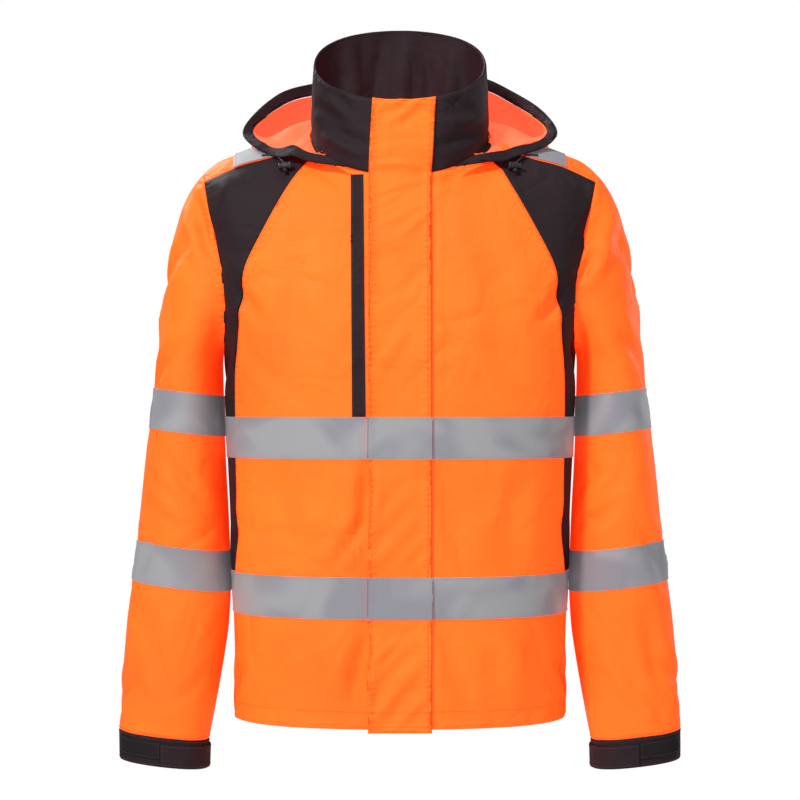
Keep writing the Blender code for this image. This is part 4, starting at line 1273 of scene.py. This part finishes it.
# Cuff tabs and the loop patches that they close on: the tab is two layers of black cloth, sewn
# round, and the patch is a woven strip covered with fine loops.
CUFF_HEIGHT = -0.757
TAB_LIFT = 0.0022
TAB_STITCH = 0.0025
PATCH_LIFT = 0.0014
PATCH_STITCH = 0.0020
loops = woven(
    "loop_patch",
    (0.022, 0.018, 0.020, 1.0),
    (0.010, 0.008, 0.009, 1.0),
    NO_GLOW,
    strength=0.0,
    roughness=0.9,
    thread=0.0016,
    dents=0.0003,
    puckers=0.0,
)
for side, sign in (("left", 1.0), ("right", -1.0)):
    middle = Vector((sign * CUFF_MIDDLE[0], CUFF_MIDDLE[1], CUFF_HEIGHT))
    sheet = laid_sheet("cuff_tab_" + side, middle, TAB_LIFT)
    unroll(sheet, middle[:2], (sign, 0.0), CUFF_RADIUS)
    sew_border(sheet, "black", (TAB_STITCH,))
    as_cloth(
        sheet,
        "cuff_tab_" + side,
        black_cloth,
        wall=0.0016,
        roll=0.0004,
    )
    sheet = laid_sheet("cuff_patch_" + side, middle, PATCH_LIFT)
    unroll(sheet, middle[:2], (sign, 0.0), CUFF_RADIUS)
    sew_border(sheet, "black", (PATCH_STITCH,))
    as_cloth(
        sheet,
        "cuff_patch_" + side,
        loops,
        wall=0.0010,
        roll=0.0002,
        rounded=0.0010,
    )


# Hood: orange cloth, thrown back, so that its lining side shows in front. Its rim of black cloth
# is turned in over the elastic and topstitched.
HOOD_FOLDS = (
    ("front", (-0.176, -0.002), (-0.158, 0.018), (-0.132, 0.030), 0.008, 0.0040),
    ("front", (-0.158, -0.012), (-0.138, 0.006), (-0.112, 0.030), 0.010, -0.0036),
    ("front", (-0.138, -0.014), (-0.122, 0.008), (-0.104, 0.016), 0.007, 0.0030),
    ("front", (0.180, 0.000), (0.160, 0.016), (0.138, 0.034), 0.009, 0.0038),
    ("front", (0.160, -0.012), (0.146, 0.006), (0.116, 0.024), 0.009, -0.0036),
    ("front", (0.134, -0.012), (0.124, 0.010), (0.108, 0.040), 0.008, 0.0034),
    ("front", (-0.100, 0.040), (-0.085, 0.000), (-0.090, -0.050), 0.014, 0.0060),
    ("front", (-0.045, 0.055), (-0.060, 0.000), (-0.030, -0.070), 0.013, -0.0050),
    ("front", (0.005, 0.050), (0.000, -0.010), (0.012, -0.080), 0.014, 0.0056),
    ("front", (0.060, 0.050), (0.050, 0.000), (0.070, -0.060), 0.013, -0.0050),
    ("front", (0.110, 0.040), (0.095, 0.000), (0.100, -0.045), 0.012, 0.0050),
)
# The opening's edge settles unevenly on the shoulders and stands up beside the collar: which part
# of it, where across, half the width, and the rise.
HOOD_SETTLES = (
    ("front", -0.135, 0.075, -0.0050),
    ("front", -0.152, 0.014, -0.0040),
    ("front", -0.128, 0.009, 0.0030),
    ("front", 0.135, 0.075, -0.0045),
    ("front", 0.128, 0.013, -0.0035),
    ("back", 0.110, 0.030, 0.0070),
    ("back", -0.150, 0.030, 0.0040),
)
# Where each part of the edge starts, and over how much it grows to its whole share
FRONT_BELOW = (0.035, 0.025)
FRONT_BEFORE = (0.010, 0.035)
BACK_ABOVE = (0.030, 0.030)
HOOD_INSIDE = (0.0, 0.12, 0.05)
HOOD_RADIUS = 0.15
RIM_WALL = 0.0024
RIM_STITCH = 0.0030


sheet = bmesh.new()
outer_side(sheet, "hood", 0, Vector(HOOD_INSIDE), facing=-1)
outer_side(sheet, "hood_rim", 1, Vector(HOOD_INSIDE), facing=-1)
bmesh.ops.remove_doubles(sheet, verts=sheet.verts, dist=SEWN_TOGETHER)
even_out(sheet)
hood_skin = smoothed(sheet, "hood_skin")
apply_folds(hood_skin, HOOD_FOLDS)
for vert in hood_skin.vertices:
    x, y, z = vert.co
    in_front = ramp(FRONT_BELOW[0] - z, FRONT_BELOW[1]) * ramp(FRONT_BEFORE[0] - y, FRONT_BEFORE[1])
    behind = ramp(z - BACK_ABOVE[0], BACK_ABOVE[1])
    share = {"front": in_front, "back": behind}
    for part, across, width, rise in HOOD_SETTLES:
        vert.co.z += rise * share[part] * math.exp(-(((x - across) / width) ** 2))
hood_skin.update()

LINING = (1.0, 0.150, 0.057, 1.0)
LINING_DARKER = (0.96, 0.115, 0.042, 1.0)
# Painted glow: a constant emission that lifts the lining's shaded side towards its lit colour
LINING_PAINTED_GLOW = (1.0, 0.108, 0.050, 1.0)
lining = woven(
    "hood_lining",
    LINING,
    LINING_DARKER,
    LINING_PAINTED_GLOW,
    strength=0.85,
    roughness=0.7,
    thread=THREAD_PITCH,
    dents=0.0060,
    puckers=0.0014,
)
for name, number, material, slot, flat, area, wall in (
    ("hood", 0, lining, "orange_cloth", (0.62, 0.36), 0.15, CLOTH_WALL),
    ("hood_rim", 1, black_cloth, "black_cloth", (0.78, 0.020), None, RIM_WALL),
):
    sheet = cut_from(hood_skin, number)
    unroll(sheet, (0.0, 0.0), (0.0, 1.0), HOOD_RADIUS)
    if name == "hood_rim":
        sew_border(sheet, "black", (RIM_STITCH,))
    item = as_cloth(sheet, name, material, wall)
    if name == "hood":
        # The lining shows inside, and the orange cloth outside and on the cut edge
        item.data.materials.append(orange_cloth)
        item.modifiers["thickness"].material_offset = 1
        item.modifiers["thickness"].material_offset_rim = 1


# Thread: every row of stitches, joined by colour into one piece each. It is spun polyester, a
# little darker in small random spots, as painted shade for where its strands turn under.
THREAD_PAINTED_SHADE = 0.75
# Each thread's colour, and the slot of the cloth that it sews
THREADS = {
    "orange": ((0.80, 0.075, 0.012, 1.0), "orange_cloth"),
    # Dark brown, for the painted shadow line at the flap's edges
    "painted_shadow_line": ((0.16, 0.045, 0.030, 1.0), "orange_cloth"),
    "black": ((0.060, 0.048, 0.054, 1.0), "black_cloth"),
    "pink": ((0.72, 0.40, 0.38, 1.0), "reflective_band"),
}
for colour, (tone, slot) in THREADS.items():
    rows = bmesh.new()
    for data in rows_of_stitches[colour]:
        rows.from_mesh(data)
        bpy.data.meshes.remove(data)
    data = bpy.data.meshes.new(colour + "_stitches")
    rows.to_mesh(data)
    rows.free()
    data.shade_smooth()
    thread = bpy.data.materials.new(colour + "_thread")
    thread.use_nodes = True
    shader = thread.node_tree.nodes["Principled BSDF"]
    shader.inputs["Roughness"].default_value = 0.6
    twist = thread.node_tree.nodes.new("ShaderNodeTexNoise")
    twist.inputs["Scale"].default_value = 900.0
    place = thread.node_tree.nodes.new("ShaderNodeTexCoord")
    thread.node_tree.links.new(place.outputs["Object"], twist.inputs["Vector"])
    shade = thread.node_tree.nodes.new("ShaderNodeMix")
    shade.data_type = "RGBA"
    # The darker colour: painted shade for where the strands turn under
    shade.inputs[6].default_value = [value * THREAD_PAINTED_SHADE for value in tone[:3]] + [1.0]
    shade.inputs[7].default_value = tone
    thread.node_tree.links.new(twist.outputs["Fac"], shade.inputs[0])
    thread.node_tree.links.new(shade.outputs[2], shader.inputs["Base Color"])
    data.materials.append(thread)
    item = bpy.data.objects.new(colour + "_stitches", data)
    scene.collection.objects.link(item)
    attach(item, "root")
